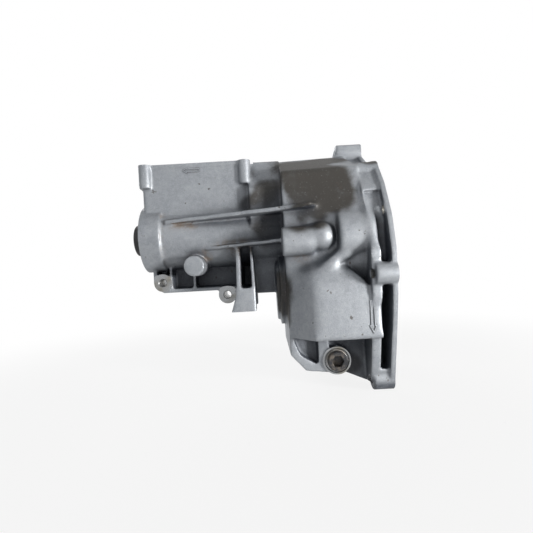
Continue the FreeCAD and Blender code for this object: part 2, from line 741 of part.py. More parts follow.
def keel():
    """The web under the tube with its rim and the two torque arm ears."""
    left = EARS[0][0]
    outline = [
        (left - EAR_R + 1, -20.0),
        (left - EAR_R + 1, EARS[0][1]),
        (left, KEEL_BOTTOM),
        (-MOUNT_REAR, KEEL_BOTTOM),
        (-MOUNT_FRONT, KEEL_BOX_BOTTOM),
        (-BELL_REAR + 1, KEEL_BOX_BOTTOM),
        (-BELL_REAR + 1, -20.0),
    ]
    web = sharp_prism_y(outline, KEEL_WEB_NEAR, KEEL_WEB_FAR)
    rim = [
        (left, KEEL_BOTTOM),
        (-MOUNT_REAR, KEEL_BOTTOM),
        (-MOUNT_REAR, KEEL_BOTTOM + KEEL_RIM),
        (left, KEEL_BOTTOM + KEEL_RIM),
    ]
    solids = [web, sharp_prism_y(rim, KEEL_NEAR, KEEL_FAR)]
    end = [
        (left - EAR_R, -30.0),
        (left - EAR_R, EARS[0][1]),
        (left - EAR_R + KEEL_RIM, EARS[0][1]),
        (left - EAR_R + KEEL_RIM, -30.0),
    ]
    solids.append(sharp_prism_y(end, KEEL_NEAR, KEEL_FAR))
    for x, z in EARS:
        solids.append(cyl_y(KEEL_NEAR, KEEL_FAR, x, z, EAR_R))
    for x in KEEL_WEB_XS:
        solids.append(box(x - 1.8, x + 1.8, KEEL_NEAR, KEEL_FAR, KEEL_BOTTOM, -20.0))
    solids.append(box(-MOUNT_FRONT - 1, -BELL_REAR + 1, KEEL_WEB_NEAR - 26, KEEL_FAR, KEEL_BOX_BOTTOM, -20.0))
    solids.append(cyl_y(DISC_BOSS_NEAR, 0, DISC_BOSS_X, DISC_BOSS_Z, DISC_BOSS_R))
    return solids


def mount_beam():
    """The crossmember mount: a flared block on each side, with ribs up to the tube."""
    block = [
        (-MOUNT_REAR, MOUNT_TOP),
        (-MOUNT_FRONT, MOUNT_TOP),
        (-MOUNT_FRONT, MOUNT_BOTTOM),
        (-MOUNT_REAR - MOUNT_FLARE, MOUNT_BOTTOM),
        (-MOUNT_REAR, MOUNT_BOTTOM + 19.0),
    ]
    rear_rib = [
        (-MOUNT_REAR + 1.0, MOUNT_TOP - 1),
        (-MOUNT_REAR + 1.0 + MOUNT_RIB, MOUNT_TOP - 1),
        (-MOUNT_REAR + 1.0 + MOUNT_RIB, -16.0),
        (-MOUNT_REAR + 1.0, -16.0),
    ]
    front_rib = [
        (-MOUNT_FRONT - 4.0, MOUNT_TOP - 1),
        (-MOUNT_FRONT, MOUNT_TOP - 1),
        (-MOUNT_FRONT - 2.0, -16.0),
        (-MOUNT_FRONT - 4.5, -16.0),
    ]
    solids = []
    for side in (-1, 1):
        outer = side * MOUNT_HALF_WIDTH
        solids.append(sharp_prism_y(block, outer, outer - side * MOUNT_DEPTH))
        for rib in (rear_rib, front_rib):
            whole = sharp_prism_y(rib, outer, 0.0)
            slant = [(outer, -200.0), (outer, MOUNT_TOP), (side * 40.0, -10.0), (0.0, -10.0), (0.0, -200.0)]
            solids.append(whole.common(sharp_prism_x(slant, -200, -100)))
    solids.append(box(-MOUNT_REAR + 1, -MOUNT_FRONT, -MOUNT_HALF_WIDTH + 1, MOUNT_HALF_WIDTH - 1,
                      MOUNT_TOP - 9.0, MOUNT_TOP))
    return solids


def mount_holes():
    x = -(MOUNT_REAR + MOUNT_FRONT) / 2
    y = MOUNT_HALF_WIDTH - MOUNT_DEPTH / 2
    return [cyl_z(MOUNT_BOTTOM - 1, MOUNT_BOTTOM + MOUNT_HOLE_DEPTH, x, side * y, MOUNT_HOLE_R) for side in (-1, 1)]


def drain_boss():
    return cyl_y(DRAIN_FACE - DRAIN_RIM, -38.0, DRAIN_X, DRAIN_Z, DRAIN_BOSS_R)


def drain_holes():
    seat = cyl_y(DRAIN_FACE - DRAIN_RIM - 1, DRAIN_FACE, DRAIN_X, DRAIN_Z, DRAIN_SEAT_R)
    hole = cyl_y(DRAIN_FACE - 1, -30.0, DRAIN_X, DRAIN_Z, DRAIN_THREAD_R + DRAIN_CLEARANCE)
    return [seat, hole]


def sensor_boss():
    round_boss = cyl_y(20.0, SENSOR_FACE, SENSOR_X, SENSOR_Z, SENSOR_BOSS_R)
    ear = cyl_y(20.0, SENSOR_FACE, SENSOR_X + SENSOR_EAR, SENSOR_Z, SENSOR_BOLT_R + 4.0)
    bridge = box(SENSOR_X, SENSOR_X + SENSOR_EAR, 20.0, SENSOR_FACE, SENSOR_Z - 6.0, SENSOR_Z + 6.0)
    return [round_boss, ear, bridge]


def sensor_holes():
    bore = cyl_y(0.0, SENSOR_FACE + 1, SENSOR_X, SENSOR_Z, SENSOR_R)
    bolt = cyl_y(SENSOR_FACE - SENSOR_BOLT_LENGTH, SENSOR_FACE + 1, SENSOR_X + SENSOR_EAR, SENSOR_Z, SENSOR_BOLT_R)
    return [bore, bolt]


def lockout_boss():
    return cyl_y(TOWER_FAR - 6.0, LOCKOUT_FACE, LOCKOUT_X, LOCKOUT_Z, LOCKOUT_BOSS_R)


def lockout_bores():
    inner = TOWER_FAR - TOWER_WALL + LOCKOUT_NOSE_WALL
    chamber = cyl_y(inner, LOCKOUT_FACE + 1, LOCKOUT_X, LOCKOUT_Z, LOCKOUT_BORE_R)
    guide = cyl_y(TOWER_FAR - TOWER_WALL - 3, inner + 1, LOCKOUT_X, LOCKOUT_Z, LOCKOUT_PLUNGER_R + LOCKOUT_CLEARANCE)
    return [chamber, guide]


def sump_magnet_seat():
    return cyl_z(BELL_FLOOR - 2, SUMP_SEAT_TOP, SUMP_MAGNET_X, SUMP_MAGNET_Y, SUMP_MAGNET_R + 2.0)


def flange_holes():
    holes = []
    for name, (y, z) in FLANGE_BOLTS.items():
        length = TOP_BOSS_LENGTH if name == "top" else FLANGE_BOSS_LENGTH
        holes.append(cyl_x(-length - 12, 1, y, z, FLANGE_HOLE_R))
    for y, z in DOWEL_PLACES:
        holes.append(cyl_x(-DOWEL_HOLE_DEPTH, 1, y, z, DOWEL_HOLE_R))
    return holes


def extension_housing():
    """The casting: outer forms joined, then hollowed, then the inner hubs put back and bored."""
    counter_outer, counter_hub = counter_boss()
    outer = [flange(), top_gusset(), bell_outer(), floor_ramp(), lower_skirt(), neck_outer(), shelf(), lower_rib()]
    outer += flange_bosses() + lobes_outer() + counter_outer + tail_outer() + tower_outer()
    outer += keel() + mount_beam() + sensor_boss() + [lockout_boss()]
    solid = outer[0]
    for form in outer[1:]:
        solid = solid.fuse(form)
    solid = solid.fuse(drain_boss())
    for hollow in [bell_inner(), neck_inner()] + tower_inner() + lobes_inner():
        solid = solid.cut(hollow)
    for hub in (counter_hub, rail_hub(), sump_magnet_seat(), corner_hub()):
        solid = solid.fuse(hub)
    cuts = [counter_bore()] + drain_holes() + tail_bores() + tower_holes() + rail_bores() + mount_holes()
    cuts += sensor_holes() + lockout_bores() + flange_holes()
    cuts += [cyl_y(KEEL_NEAR - 1, KEEL_FAR + 1, x, z, EAR_HOLE_R) for x, z in EARS]
    for tool in cuts:
        solid = solid.cut(tool)
    return solid


def yoke_bushing():
    bore = JOURNAL_R + BUSHING_CLEARANCE
    return tube_x(-BUSHING_SEAT_FRONT - BUSHING_LENGTH, -BUSHING_SEAT_FRONT, bore + BUSHING_WALL, bore)


def seal_shell():
    """The steel case of the tail seal: a cup with its floor outwards."""
    back = -TAIL_FACE + SEAL_RECESS
    plate = back + SEAL_SHELL_WALL
    inner = SEAL_R - SEAL_SHELL_WALL
    front = -TAIL_FACE + SEAL_DEPTH
    return revolve_x([(back, SEAL_SHELL_BORE_R), (back, SEAL_R), (front, SEAL_R), (front, inner), (plate, inner),
                      (plate, SEAL_SHELL_BORE_R)])


def lip_places():
    """X of the lip's back face, its spring groove's middle, and its front edge."""
    back = -TAIL_FACE + SEAL_RECESS + SEAL_SHELL_WALL
    front = back + SEAL_LIP_LENGTH
    return back, front - SPRING_R - LIP_END, front


def seal_lip():
    back, groove, front = lip_places()
    edge = JOURNAL_R + SEAL_LIP_CLEARANCE
    bed = edge + LIP_THICKNESS
    half = SPRING_R + SPRING_PLAY
    return revolve_x([(back, SEAL_R - SEAL_SHELL_WALL), (back, edge + 0.6), (groove - 2.5, edge + 0.6),
                      (groove - 0.5, edge), (groove + 0.5, edge), (front, edge + 0.6), (front, bed + SPRING_R),
                      (groove + half, bed + SPRING_R), (groove + half, bed), (groove - half, bed),
                      (groove - half, bed + SPRING_R), (back + 2.0, bed + SPRING_R + 1.0),
                      (back + 2.0, SEAL_R - SEAL_SHELL_WALL)])


def garter_spring():
    groove = lip_places()[1]
    ring = JOURNAL_R + SEAL_LIP_CLEARANCE + LIP_THICKNESS + SPRING_R
    return Part.makeTorus(ring, SPRING_R, V(groove, 0, 0), V(1, 0, 0))


def dust_boot():
    """The black rubber nose that keeps road dirt off the seal."""
    root = -TAIL_FACE + SEAL_RECESS
    end = -TAIL_FACE - NOSE_OUT
    sleeve = revolve_x([(root + SEAL_SHELL_WALL, NOSE_BORE_R), (root + SEAL_SHELL_WALL, SEAL_SHELL_BORE_R),
                        (root, SEAL_SHELL_BORE_R), (root - 1.0, NOSE_R), (end, NOSE_R), (end, NOSE_BORE_R)])
    rim = [e for e in sleeve.Edges if abs(e.CenterOfMass.x - end) < 0.01 and e.Length > 2 * math.pi * NOSE_R - 1]
    return sleeve.makeFillet(NOSE_ROUND, rim)


def counter_places():
    floor = -COUNTER_BOSS_REAR + COUNTER_FLOOR
    return floor, floor + SHIM_THICKNESS, floor + SHIM_THICKNESS + CUP_WIDTH


def countershaft_shim():
    floor, seat, _ = counter_places()
    return tube_x(floor, seat, CUP_R, CUP_BORE_R, COUNTER_Y, COUNTER_Z)


def countershaft_bearing_cup():
    """The outer race of the countershaft's tapered roller bearing."""
    _, seat, front = counter_places()
    cup = revolve_x([(seat, CUP_BORE_R), (seat, CUP_R), (front, CUP_R), (front, CUP_BORE_R + CUP_TAPER)])
    cup.translate(V(0, COUNTER_Y, COUNTER_Z))
    return cup


def rail_bushing(x_from):
    bore = RAIL_R + RAIL_CLEARANCE
    return tube_x(x_from, x_from + RAIL_BUSHING_LENGTH, bore + RAIL_BUSHING_WALL, bore, RAIL_Y, RAIL_Z)


def rail_bore_plug():
    """A pressed steel cup that closes the rail's bore at the back of the tower."""
    outer = RAIL_R + RAIL_CLEARANCE + RAIL_BUSHING_WALL
    back = -TOWER_REAR
    front = back + RAIL_PLUG_THICKNESS
    cup = revolve_x([(back, outer - RAIL_PLUG_WALL), (back, outer), (front, outer), (front, 0),
                     (front - RAIL_PLUG_WALL, 0), (front - RAIL_PLUG_WALL, outer - RAIL_PLUG_WALL)])
    cup.translate(V(0, RAIL_Y, RAIL_Z))
    return cup


def hexagon_y(across, x, z, y_from, y_to):
    corner = across / math.sqrt(3)
    points = [(x + corner * math.cos(math.radians(60 * i)), z + corner * math.sin(math.radians(60 * i)))
              for i in range(6)]
    return sharp_prism_y(points, y_from, y_to)


def drain_plug():
    """Outer face towards -Y: a round head with a hexagon socket, and the threaded shank behind it."""
    seat = DRAIN_FACE - DRAIN_WASHER
    back = seat - DRAIN_HEAD
    tip = DRAIN_FACE + DRAIN_THREAD
    head = cyl_y(back, seat, DRAIN_X, DRAIN_Z, DRAIN_HEAD_R)
    rim = [e for e in head.Edges if abs(e.CenterOfMass.y - back) < 0.01]
    head = head.makeChamfer(DRAIN_CHAMFER, rim)
    plug = head.fuse(cyl_y(seat - 1, tip, DRAIN_X, DRAIN_Z, DRAIN_THREAD_R))
    socket = hexagon_y(DRAIN_SOCKET, DRAIN_X, DRAIN_Z, back - 1, back + DRAIN_SOCKET_DEPTH)
    magnet_seat = cyl_y(tip - DRAIN_MAGNET_SEAT, tip + 1, DRAIN_X, DRAIN_Z, DRAIN_MAGNET_R)
    return plug.cut(socket).cut(magnet_seat)


def drain_plug_washer():
    ring = cyl_y(DRAIN_FACE - DRAIN_WASHER, DRAIN_FACE, DRAIN_X, DRAIN_Z, DRAIN_WASHER_R)
    return ring.cut(cyl_y(DRAIN_FACE - 3, DRAIN_FACE + 1, DRAIN_X, DRAIN_Z, DRAIN_THREAD_R + DRAIN_CLEARANCE))


def drain_plug_magnet():
    start = DRAIN_FACE + DRAIN_THREAD - DRAIN_MAGNET_SEAT
    return cyl_y(start, start + DRAIN_MAGNET, DRAIN_X, DRAIN_Z, DRAIN_MAGNET_R)


def speed_sensor():
    """Plastic body: a probe in the bore, an ear for the bolt and a plug socket that points forwards."""
    probe = cyl_y(SENSOR_TIP, SENSOR_FACE + 1, SENSOR_X, SENSOR_Z, SENSOR_R - SENSOR_CLEARANCE)
    cap = cyl_y(SENSOR_FACE, SENSOR_FACE + SENSOR_CAP, SENSOR_X, SENSOR_Z, SENSOR_R + 2.0)
    ear = cyl_y(SENSOR_FACE, SENSOR_FACE + SENSOR_EAR_THICKNESS, SENSOR_X + SENSOR_EAR, SENSOR_Z, SENSOR_BOLT_R + 4.0)
    tab = box(SENSOR_X, SENSOR_X + SENSOR_EAR, SENSOR_FACE, SENSOR_FACE + SENSOR_EAR_THICKNESS,
              SENSOR_Z - 7.0, SENSOR_Z + 7.0)
    plug = box(SENSOR_X - SENSOR_PLUG, SENSOR_X, SENSOR_FACE + 3.0, SENSOR_FACE + SENSOR_CAP,
               SENSOR_Z - 8.0, SENSOR_Z + 8.0)
    recess = box(SENSOR_X - SENSOR_PLUG - 1, SENSOR_X - 13.0, SENSOR_FACE + 5.0, SENSOR_FACE + SENSOR_CAP - 2.0,
                 SENSOR_Z - 6.0, SENSOR_Z + 6.0)
    groove = cyl_y(ORING_Y - ORING_R - 0.1, ORING_Y + ORING_R + 0.1, SENSOR_X, SENSOR_Z, SENSOR_R + 1)
    core = cyl_y(ORING_Y - ORING_R - 1, ORING_Y + ORING_R + 1, SENSOR_X, SENSOR_Z,
                 SENSOR_R - SENSOR_CLEARANCE - 2 * ORING_R)
    bolt = cyl_y(SENSOR_FACE - 1, SENSOR_FACE + SENSOR_EAR_THICKNESS + 1, SENSOR_X + SENSOR_EAR, SENSOR_Z,
                 SENSOR_BOLT_R)
    body = probe.fuse(cap).fuse(ear).fuse(tab).fuse(plug).cut(recess)
    return body.cut(groove.cut(core)).cut(bolt)


def speed_sensor_oring():
    ring = SENSOR_R - SENSOR_CLEARANCE - ORING_R
    return Part.makeTorus(ring, ORING_R, V(SENSOR_X, ORING_Y, SENSOR_Z), V(0, 1, 0))


def speed_sensor_bolt():
    x = SENSOR_X + SENSOR_EAR
    top = SENSOR_FACE + SENSOR_EAR_THICKNESS
    shank = cyl_y(SENSOR_FACE - SENSOR_BOLT_LENGTH + 2.0, top + 1, x, SENSOR_Z, SENSOR_BOLT_R)
    flange_ring = cyl_y(top, top + 1.5, x, SENSOR_Z, SENSOR_BOLT_R + 3.5)
    return shank.fuse(flange_ring).fuse(hexagon_y(2 * SENSOR_BOLT_HEAD_R, x, SENSOR_Z, top + 1, top + SENSOR_BOLT_HEAD))


def lockout_places():
    """Y of the chamber's floor, the collar's outer face and the cap's inner end."""
    floor = TOWER_FAR - TOWER_WALL + LOCKOUT_NOSE_WALL
    return floor, floor + LOCKOUT_COLLAR, LOCKOUT_FACE - LOCKOUT_CAP_THREAD


def lockout_cap():
    inner_end = lockout_places()[2]
    thread = cyl_y(inner_end, LOCKOUT_FACE + LOCKOUT_WASHER + 1, LOCKOUT_X, LOCKOUT_Z, LOCKOUT_BORE_R)
    head = hexagon_y(2 * LOCKOUT_CAP_R - 4.0, LOCKOUT_X, LOCKOUT_Z, LOCKOUT_FACE + LOCKOUT_WASHER + 1,
                     LOCKOUT_FACE + LOCKOUT_WASHER + LOCKOUT_CAP)
    rim = cyl_y(LOCKOUT_FACE + LOCKOUT_WASHER, LOCKOUT_FACE + LOCKOUT_WASHER + 2.0, LOCKOUT_X, LOCKOUT_Z,
                LOCKOUT_CAP_R)
    return thread.fuse(head).fuse(rim)


def lockout_cap_washer():
    ring = cyl_y(LOCKOUT_FACE, LOCKOUT_FACE + LOCKOUT_WASHER, LOCKOUT_X, LOCKOUT_Z, LOCKOUT_CAP_R)
    return ring.cut(cyl_y(LOCKOUT_FACE - 1, LOCKOUT_FACE + 3, LOCKOUT_X, LOCKOUT_Z, LOCKOUT_BORE_R))


def lockout_plunger():
    floor, collar_end, _ = lockout_places()
    inner_wall = TOWER_FAR - TOWER_WALL
    rod = cyl_y(inner_wall - LOCKOUT_TRAVEL, collar_end, LOCKOUT_X, LOCKOUT_Z, LOCKOUT_PLUNGER_R)
    nose = [e for e in rod.Edges if abs(e.CenterOfMass.y - inner_wall + LOCKOUT_TRAVEL) < 0.01]
    rod = rod.makeChamfer(1.5, nose)
    return rod.fuse(cyl_y(floor, collar_end, LOCKOUT_X, LOCKOUT_Z, LOCKOUT_BORE_R - LOCKOUT_COLLAR_GAP))


def lockout_spring():
    """Half rings tilted one way and the other by turns, whose ends meet squarely; the two end ones lie flat."""
    _, collar_end, inner_end = lockout_places()
    coil_r = LOCKOUT_BORE_R - LOCKOUT_COLLAR_GAP - SPRING_WIRE_R - 0.4
    length = inner_end - collar_end - 2 * SPRING_WIRE_R
    rise = length / (SPRING_HALF_RINGS - 2)
    low = 0.0
    coil = None
    for i in range(SPRING_HALF_RINGS):
        step = 0.0 if i in (0, SPRING_HALF_RINGS - 1) else rise
        side = 1 if i % 2 == 0 else -1
        start = V(side * coil_r, 0, low)
        section = Part.Face(Part.Wire(Part.Circle(start, V(0, 1, 0), SPRING_WIRE_R).toShape()))
        half = section.revolve(V(0, 0, low + step / 2), V(side * step / 2, 0, coil_r), 180)
        coil = half if coil is None else coil.fuse(half)
        low += step
    coil.rotate(V(0, 0, 0), V(1, 0, 0), -90)
    coil.translate(V(LOCKOUT_X, collar_end + SPRING_WIRE_R, LOCKOUT_Z))
    return coil


def sump_magnet():
    base = SUMP_SEAT_TOP
    return cyl_z(base, base + SUMP_MAGNET_HEIGHT, SUMP_MAGNET_X, SUMP_MAGNET_Y, SUMP_MAGNET_R)


def export(name, shape):
    shape.exportStep("parts/%s.step" % name)
    print(name, len(shape.Solids), "solid(s)", round(shape.Volume / 1000, 3), "cm3", shape.isValid())


def main():
    os.makedirs("parts", exist_ok=True)
    for piece in (extension_housing, yoke_bushing, seal_shell, seal_lip, garter_spring, dust_boot,
                  countershaft_shim, countershaft_bearing_cup, rail_bore_plug, drain_plug, drain_plug_washer,
                  drain_plug_magnet, speed_sensor, speed_sensor_oring, speed_sensor_bolt, lockout_cap,
                  lockout_cap_washer, lockout_plunger, lockout_spring, sump_magnet):
        export(piece.__name__, piece())
    export("rail_bushing_front", rail_bushing(-BELL_REAR - RAIL_BULKHEAD))
    export("rail_bushing_rear", rail_bushing(-TOWER_REAR + RAIL_PLUG_THICKNESS))


main()
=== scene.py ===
import json
import math

import bmesh
import bpy
import numpy as np
from mathutils import Matrix, Vector

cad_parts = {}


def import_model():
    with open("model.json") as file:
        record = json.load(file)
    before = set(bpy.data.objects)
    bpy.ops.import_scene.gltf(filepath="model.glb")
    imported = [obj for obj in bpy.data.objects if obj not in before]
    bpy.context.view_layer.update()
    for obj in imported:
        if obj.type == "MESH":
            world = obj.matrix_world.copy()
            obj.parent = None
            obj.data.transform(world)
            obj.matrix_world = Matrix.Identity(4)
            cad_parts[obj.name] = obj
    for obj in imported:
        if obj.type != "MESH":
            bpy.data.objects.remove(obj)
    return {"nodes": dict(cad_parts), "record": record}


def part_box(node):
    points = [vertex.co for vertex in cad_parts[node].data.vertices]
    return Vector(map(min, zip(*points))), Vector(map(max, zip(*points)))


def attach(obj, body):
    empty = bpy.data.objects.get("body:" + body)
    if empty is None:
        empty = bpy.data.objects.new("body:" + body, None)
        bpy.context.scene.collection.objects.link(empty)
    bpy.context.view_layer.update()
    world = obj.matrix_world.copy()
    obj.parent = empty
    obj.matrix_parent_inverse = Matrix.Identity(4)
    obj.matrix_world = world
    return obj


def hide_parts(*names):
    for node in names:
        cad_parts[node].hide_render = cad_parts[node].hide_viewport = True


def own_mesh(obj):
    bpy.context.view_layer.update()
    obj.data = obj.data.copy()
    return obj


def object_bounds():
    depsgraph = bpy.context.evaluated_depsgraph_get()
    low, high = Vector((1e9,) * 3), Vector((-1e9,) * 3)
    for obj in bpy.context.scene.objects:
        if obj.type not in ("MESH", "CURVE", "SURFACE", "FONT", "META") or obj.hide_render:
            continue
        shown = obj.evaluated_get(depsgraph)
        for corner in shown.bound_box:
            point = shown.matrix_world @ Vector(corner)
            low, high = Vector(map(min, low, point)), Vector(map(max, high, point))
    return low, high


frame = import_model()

# Looks of the extension housing; +X forward, -Y the near side, +Z up. The scene is in metres. The part's
# sizes and places are in millimetres. What is multiplied by MM, the camera and the stage are in metres.

MM = 0.001
cad_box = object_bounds()

# Camera, fitted to the photograph
CAMERA_PLACE = Vector((-0.1361, -0.499, -0.0424))
CAMERA_ROLL = math.radians(3.2)
FOCAL_SHARE = 384.0 / 533.0
SENSOR_WIDTH = 36.0

# Stage: the floor turns from its near glow to white between two distances from the object
FLOOR_HALF = 4.0
FLOOR_COLOUR = (0.80, 0.80, 0.80, 1)
FLOOR_ROUGHNESS = 0.9
FLOOR_NEAR = 0.28
FLOOR_FAR = 0.75
FLOOR_GLOW = 0.86
WORLD_LEVEL = 0.05
WHITE_LEVEL = 1.0
WHITE_RAYS = ("Is Glossy Ray", "Is Transmission Ray", "Is Camera Ray")

# Soft lights: name, place, size, power and colour
LIGHTS = (
    ("key", (0.85, -0.70, -0.06), (0.2, 0.16), 25.0, (1.0, 0.985, 0.96)),
    ("fill", (-0.8, -0.9, 0.5), (0.9, 0.9), 1.0, (0.92, 0.95, 1.0)),
    ("back", (-0.7, 1.0, 0.5), (0.8, 0.8), 8.0, (1.0, 1.0, 1.0)),
)

# Casting skin: how finely it is remade, and how far it is smoothed
VOXEL = 1.3 * MM
MERGE = 0.002 * MM
SMOOTH_FACTOR = 0.5
SMOOTH_STEPS = 7
SKIN_FACES = 180000
SHARP_ANGLE = math.radians(30)
LATHE_SIDES = 48

# Stock left for the cutters, and how far they run past it
STOCK = 3.0
STOCK_SIDES = 40
BORE_STOCK = 1.2
BORE_STOCK_OUT = 2.0
BORE_STOCK_LAP = 1.0
BORE_STOCK_SHORT = 0.5
EAR_STOCK = 1.5
EAR_STOCK_SUNK = 3.0
EAR_CUT_WIDER = 2.0
OVERRUN = 5.0
CHAMFER = 0.8
PLANE_TOLERANCE = 0.02 * MM

# Where the lobes blend into each other: two corners of a box, and its share of the softening
SOFT_STEPS = 220
SOFT_LEVELS = 20
SOFT_EDGE = 8.0
SOFT_BOXES = (
    ((-92.0, -110.0, -44.0), (-34.0, -52.0, 34.0), 0.25),
    ((-56.0, -110.0, -30.0), (-10.0, -52.0, 34.0), 0.3),
    ((-114.0, -110.0, -122.0), (-50.0, -52.0, -30.0), 1.0),
    ((-70.0, -110.0, -60.0), (-46.0, -52.0, -24.0), 0.8),
    ((-44.0, -110.0, -122.0), (-4.0, -70.0, -84.0), 0.3),
)

# Raised marks of the mould, as places on the wall that carries them
ARROW = ((-10.5, 0.0), (-5.0, -4.0), (-5.0, -2.2), (10.5, -2.2), (10.5, 2.2), (-5.0, 2.2), (-5.0, 4.0))
MARK_LINE = 1.0
MARK_HEIGHT = 0.9
TOWER_NEAR = -28.0
TOWER_ARROW = (-222.0, 80.5)
TOWER_ARROW_ROOT = 1.5
LOBE_NEAR = -91.0
DRAIN_ARROW = (-26.0, -102.0)
DRAIN_ARROW_WIDTH = 1.1
DRAIN_ARROW_LENGTH = 1.7
DRAIN_ARROW_LINE = 1.1
DRAIN_ARROW_ROOT = 2.0
WEB_NEAR = 4.0
EJECTOR_MARKS = ((-192.0, -41.0), (-242.0, -50.0))
EJECTOR_R = 5.5
EJECTOR_LINE = 0.8
EJECTOR_HEIGHT = 0.6
EJECTOR_ROOT = 1.0
EJECTOR_SIDES = 24

# Width by which the sharp edges of each small part are broken; 0 leaves them as they are
BREAKS = {
    "yoke_bushing": 0.4, "seal_shell": 0.3, "seal_lip": 0.15, "dust_boot": 0.6, "countershaft_shim": 0.12,
    "countershaft_bearing_cup": 0.5, "rail_bore_plug": 0.3, "drain_plug_washer": 0.2,
    "drain_plug_magnet": 0.3, "speed_sensor": 0.5, "speed_sensor_bolt": 0.3, "lockout_cap": 0.5,
    "lockout_cap_washer": 0.2, "lockout_plunger": 0.3, "sump_magnet": 0.6, "rail_bushing_front": 0.25,
    "rail_bushing_rear": 0.25, "speed_sensor_oring": 0.0,
}
BREAK_ANGLE = math.radians(32)
BREAK_SEGMENTS = 2
FLAT_ANGLE = math.radians(1.5)

# Drain plug; the crest of each thread ring lies between two shares of the pitch
HEAD_CHAMFER_LENGTH = 1.2
HEAD_CHAMFER_DEPTH = 1.4
DRAIN_SEAT = -59.5
SEAT_CHAMFER = 0.4
SOCKET_DEPTH = 8.0
SOCKET_HALF = 6.0
SOCKET_CHAMFER = 0.5
THREAD_R = 9.0
THREAD_FROM = -56.0
THREAD_PITCH = 1.5
THREAD_DEPTH = 0.8
THREAD_CREST = (0.45, 0.65)
THREAD_RELIEF = 0.9
THREAD_RUNOUT = 1.0
TIP_CHAMFER = 0.3
TIP_RELIEF = 1.4
MAGNET_R = 4.5
MAGNET_POCKET = 3.0

# Speed sensor's contacts, and the two coil springs
PIN_PITCH = 3.6
PIN_DEPTH = 4.0
PIN_END = 12.0
PIN_Y = 57.5
PIN_HALF_THICKNESS = 0.4
PIN_HALF_WIDTH = 0.9
SPRING_WIRE = 0.8
SPRING_TURNS = 5.5
SPRING_CLOSED_TURNS = 0.8
SPRING_STEPS = 32
SPRING_SIDES = 10
GARTER_WIRE = 0.32
GARTER_TURNS = 110
GARTER_STEPS = 8
GARTER_SIDES = 5

# Machined faces. A plane has an axis, the way out, its place and the box that the cutter clears.
FRONT = 0.0
TAIL = -287.0
TOWER_TOP = 89.0
MOUNT_FOOT = -93.0
DRAIN_FACE = -61.0
SENSOR_FACE = 49.0
LOCKOUT_FACE = 68.0
PLANES = (
    ("x", 1, FRONT, (-140.0, 140.0), (-220.0, 140.0)),
    ("x", -1, TAIL, (-50.0, 50.0), (-50.0, 50.0)),
    ("z", 1, TOWER_TOP, (-292.0, -146.0), (-38.0, 58.0)),
    ("z", -1, MOUNT_FOOT, (-185.0, -145.0), (-64.0, 64.0)),
    ("y", -1, DRAIN_FACE, (-80.0, -43.0), (-172.0, -136.0)),
    ("y", 1, SENSOR_FACE, (-226.0, -183.0), (-22.0, 10.0)),
    ("y", 1, LOCKOUT_FACE, (-210.0, -170.0), (42.0, 82.0)),
)

# Bores, as places on the two axes across them and (along, radius) points from the mouth inwards
OUTPUT = (0.0, 0.0)
OUTPUT_BORE = (
    (TAIL, 29.0), (-275.0, 29.0), (-275.0, 25.0),
    (-268.0, 25.0), (-268.0, 20.05), (-228.0, 20.05),
)
COUNTERSHAFT = (-8.0, -72.0)
CUP_BORE = ((-100.8, 31.0), (-118.0, 31.0))
RAIL = (8.0, 62.0)
RAIL_FRONT_BORE = ((-105.0, 10.05), (-124.0, 10.05))
RAIL_REAR_BORE = ((-283.5, 10.05), (-265.5, 10.05))
DRAIN = (-61.5, -154.0)
DRAIN_BORE = ((DRAIN_FACE, 13.5), (-58.0, 13.5), (-58.0, 9.05), (-44.0, 9.05))
SENSOR = (-210.0, -6.0)
SENSOR_BORE = ((SENSOR_FACE, 8.0), (30.5, 8.0))
SENSOR_BOLT = (-192.0, -6.0)
SENSOR_BOLT_BORE = ((SENSOR_FACE, 3.0), (35.0, 3.0))
LOCKOUT = (-190.0, 62.0)
LOCKOUT_BORE = ((LOCKOUT_FACE, 11.0), (43.5, 11.0), (43.5, 6.05), (39.5, 6.05))

# Bolt and dowel holes
EARS = ((-268.0, -56.0), (-187.0, -75.0))
EAR_NEAR = -14.0
EAR_FAR = 30.0
EAR_R = 10.6
EAR_BOLT_R = 4.6
SHORT_BOSS = 23.0
LONG_BOSS = 33.0
CASE_BOLT_R = 5.4
DOWEL_R = 5.0
DOWEL_DEPTH = 7.0
TOWER_BOLT_R = 3.4
MOUNT_BOLT_R = 5.1
BLIND_DEPTH = 20.0
TOP_BOLT = (30.0, 106.0)
FLANGE_BOLTS = (
    (-42.0, 62.5), (-93.0, -56.0), (-60.0, -177.0),
    (62.0, -177.0), (104.0, -50.0), (84.0, 58.0),
)
DOWELS = ((-82.0, 12.0), (86.0, -122.0))
TOWER_BOLTS = ((-278.8, -27.0), (-278.8, 47.0), (-157.0, -27.0), (-157.0, 47.0))
MOUNT_BOLTS = ((-161.75, -43.0), (-161.75, 43.0))

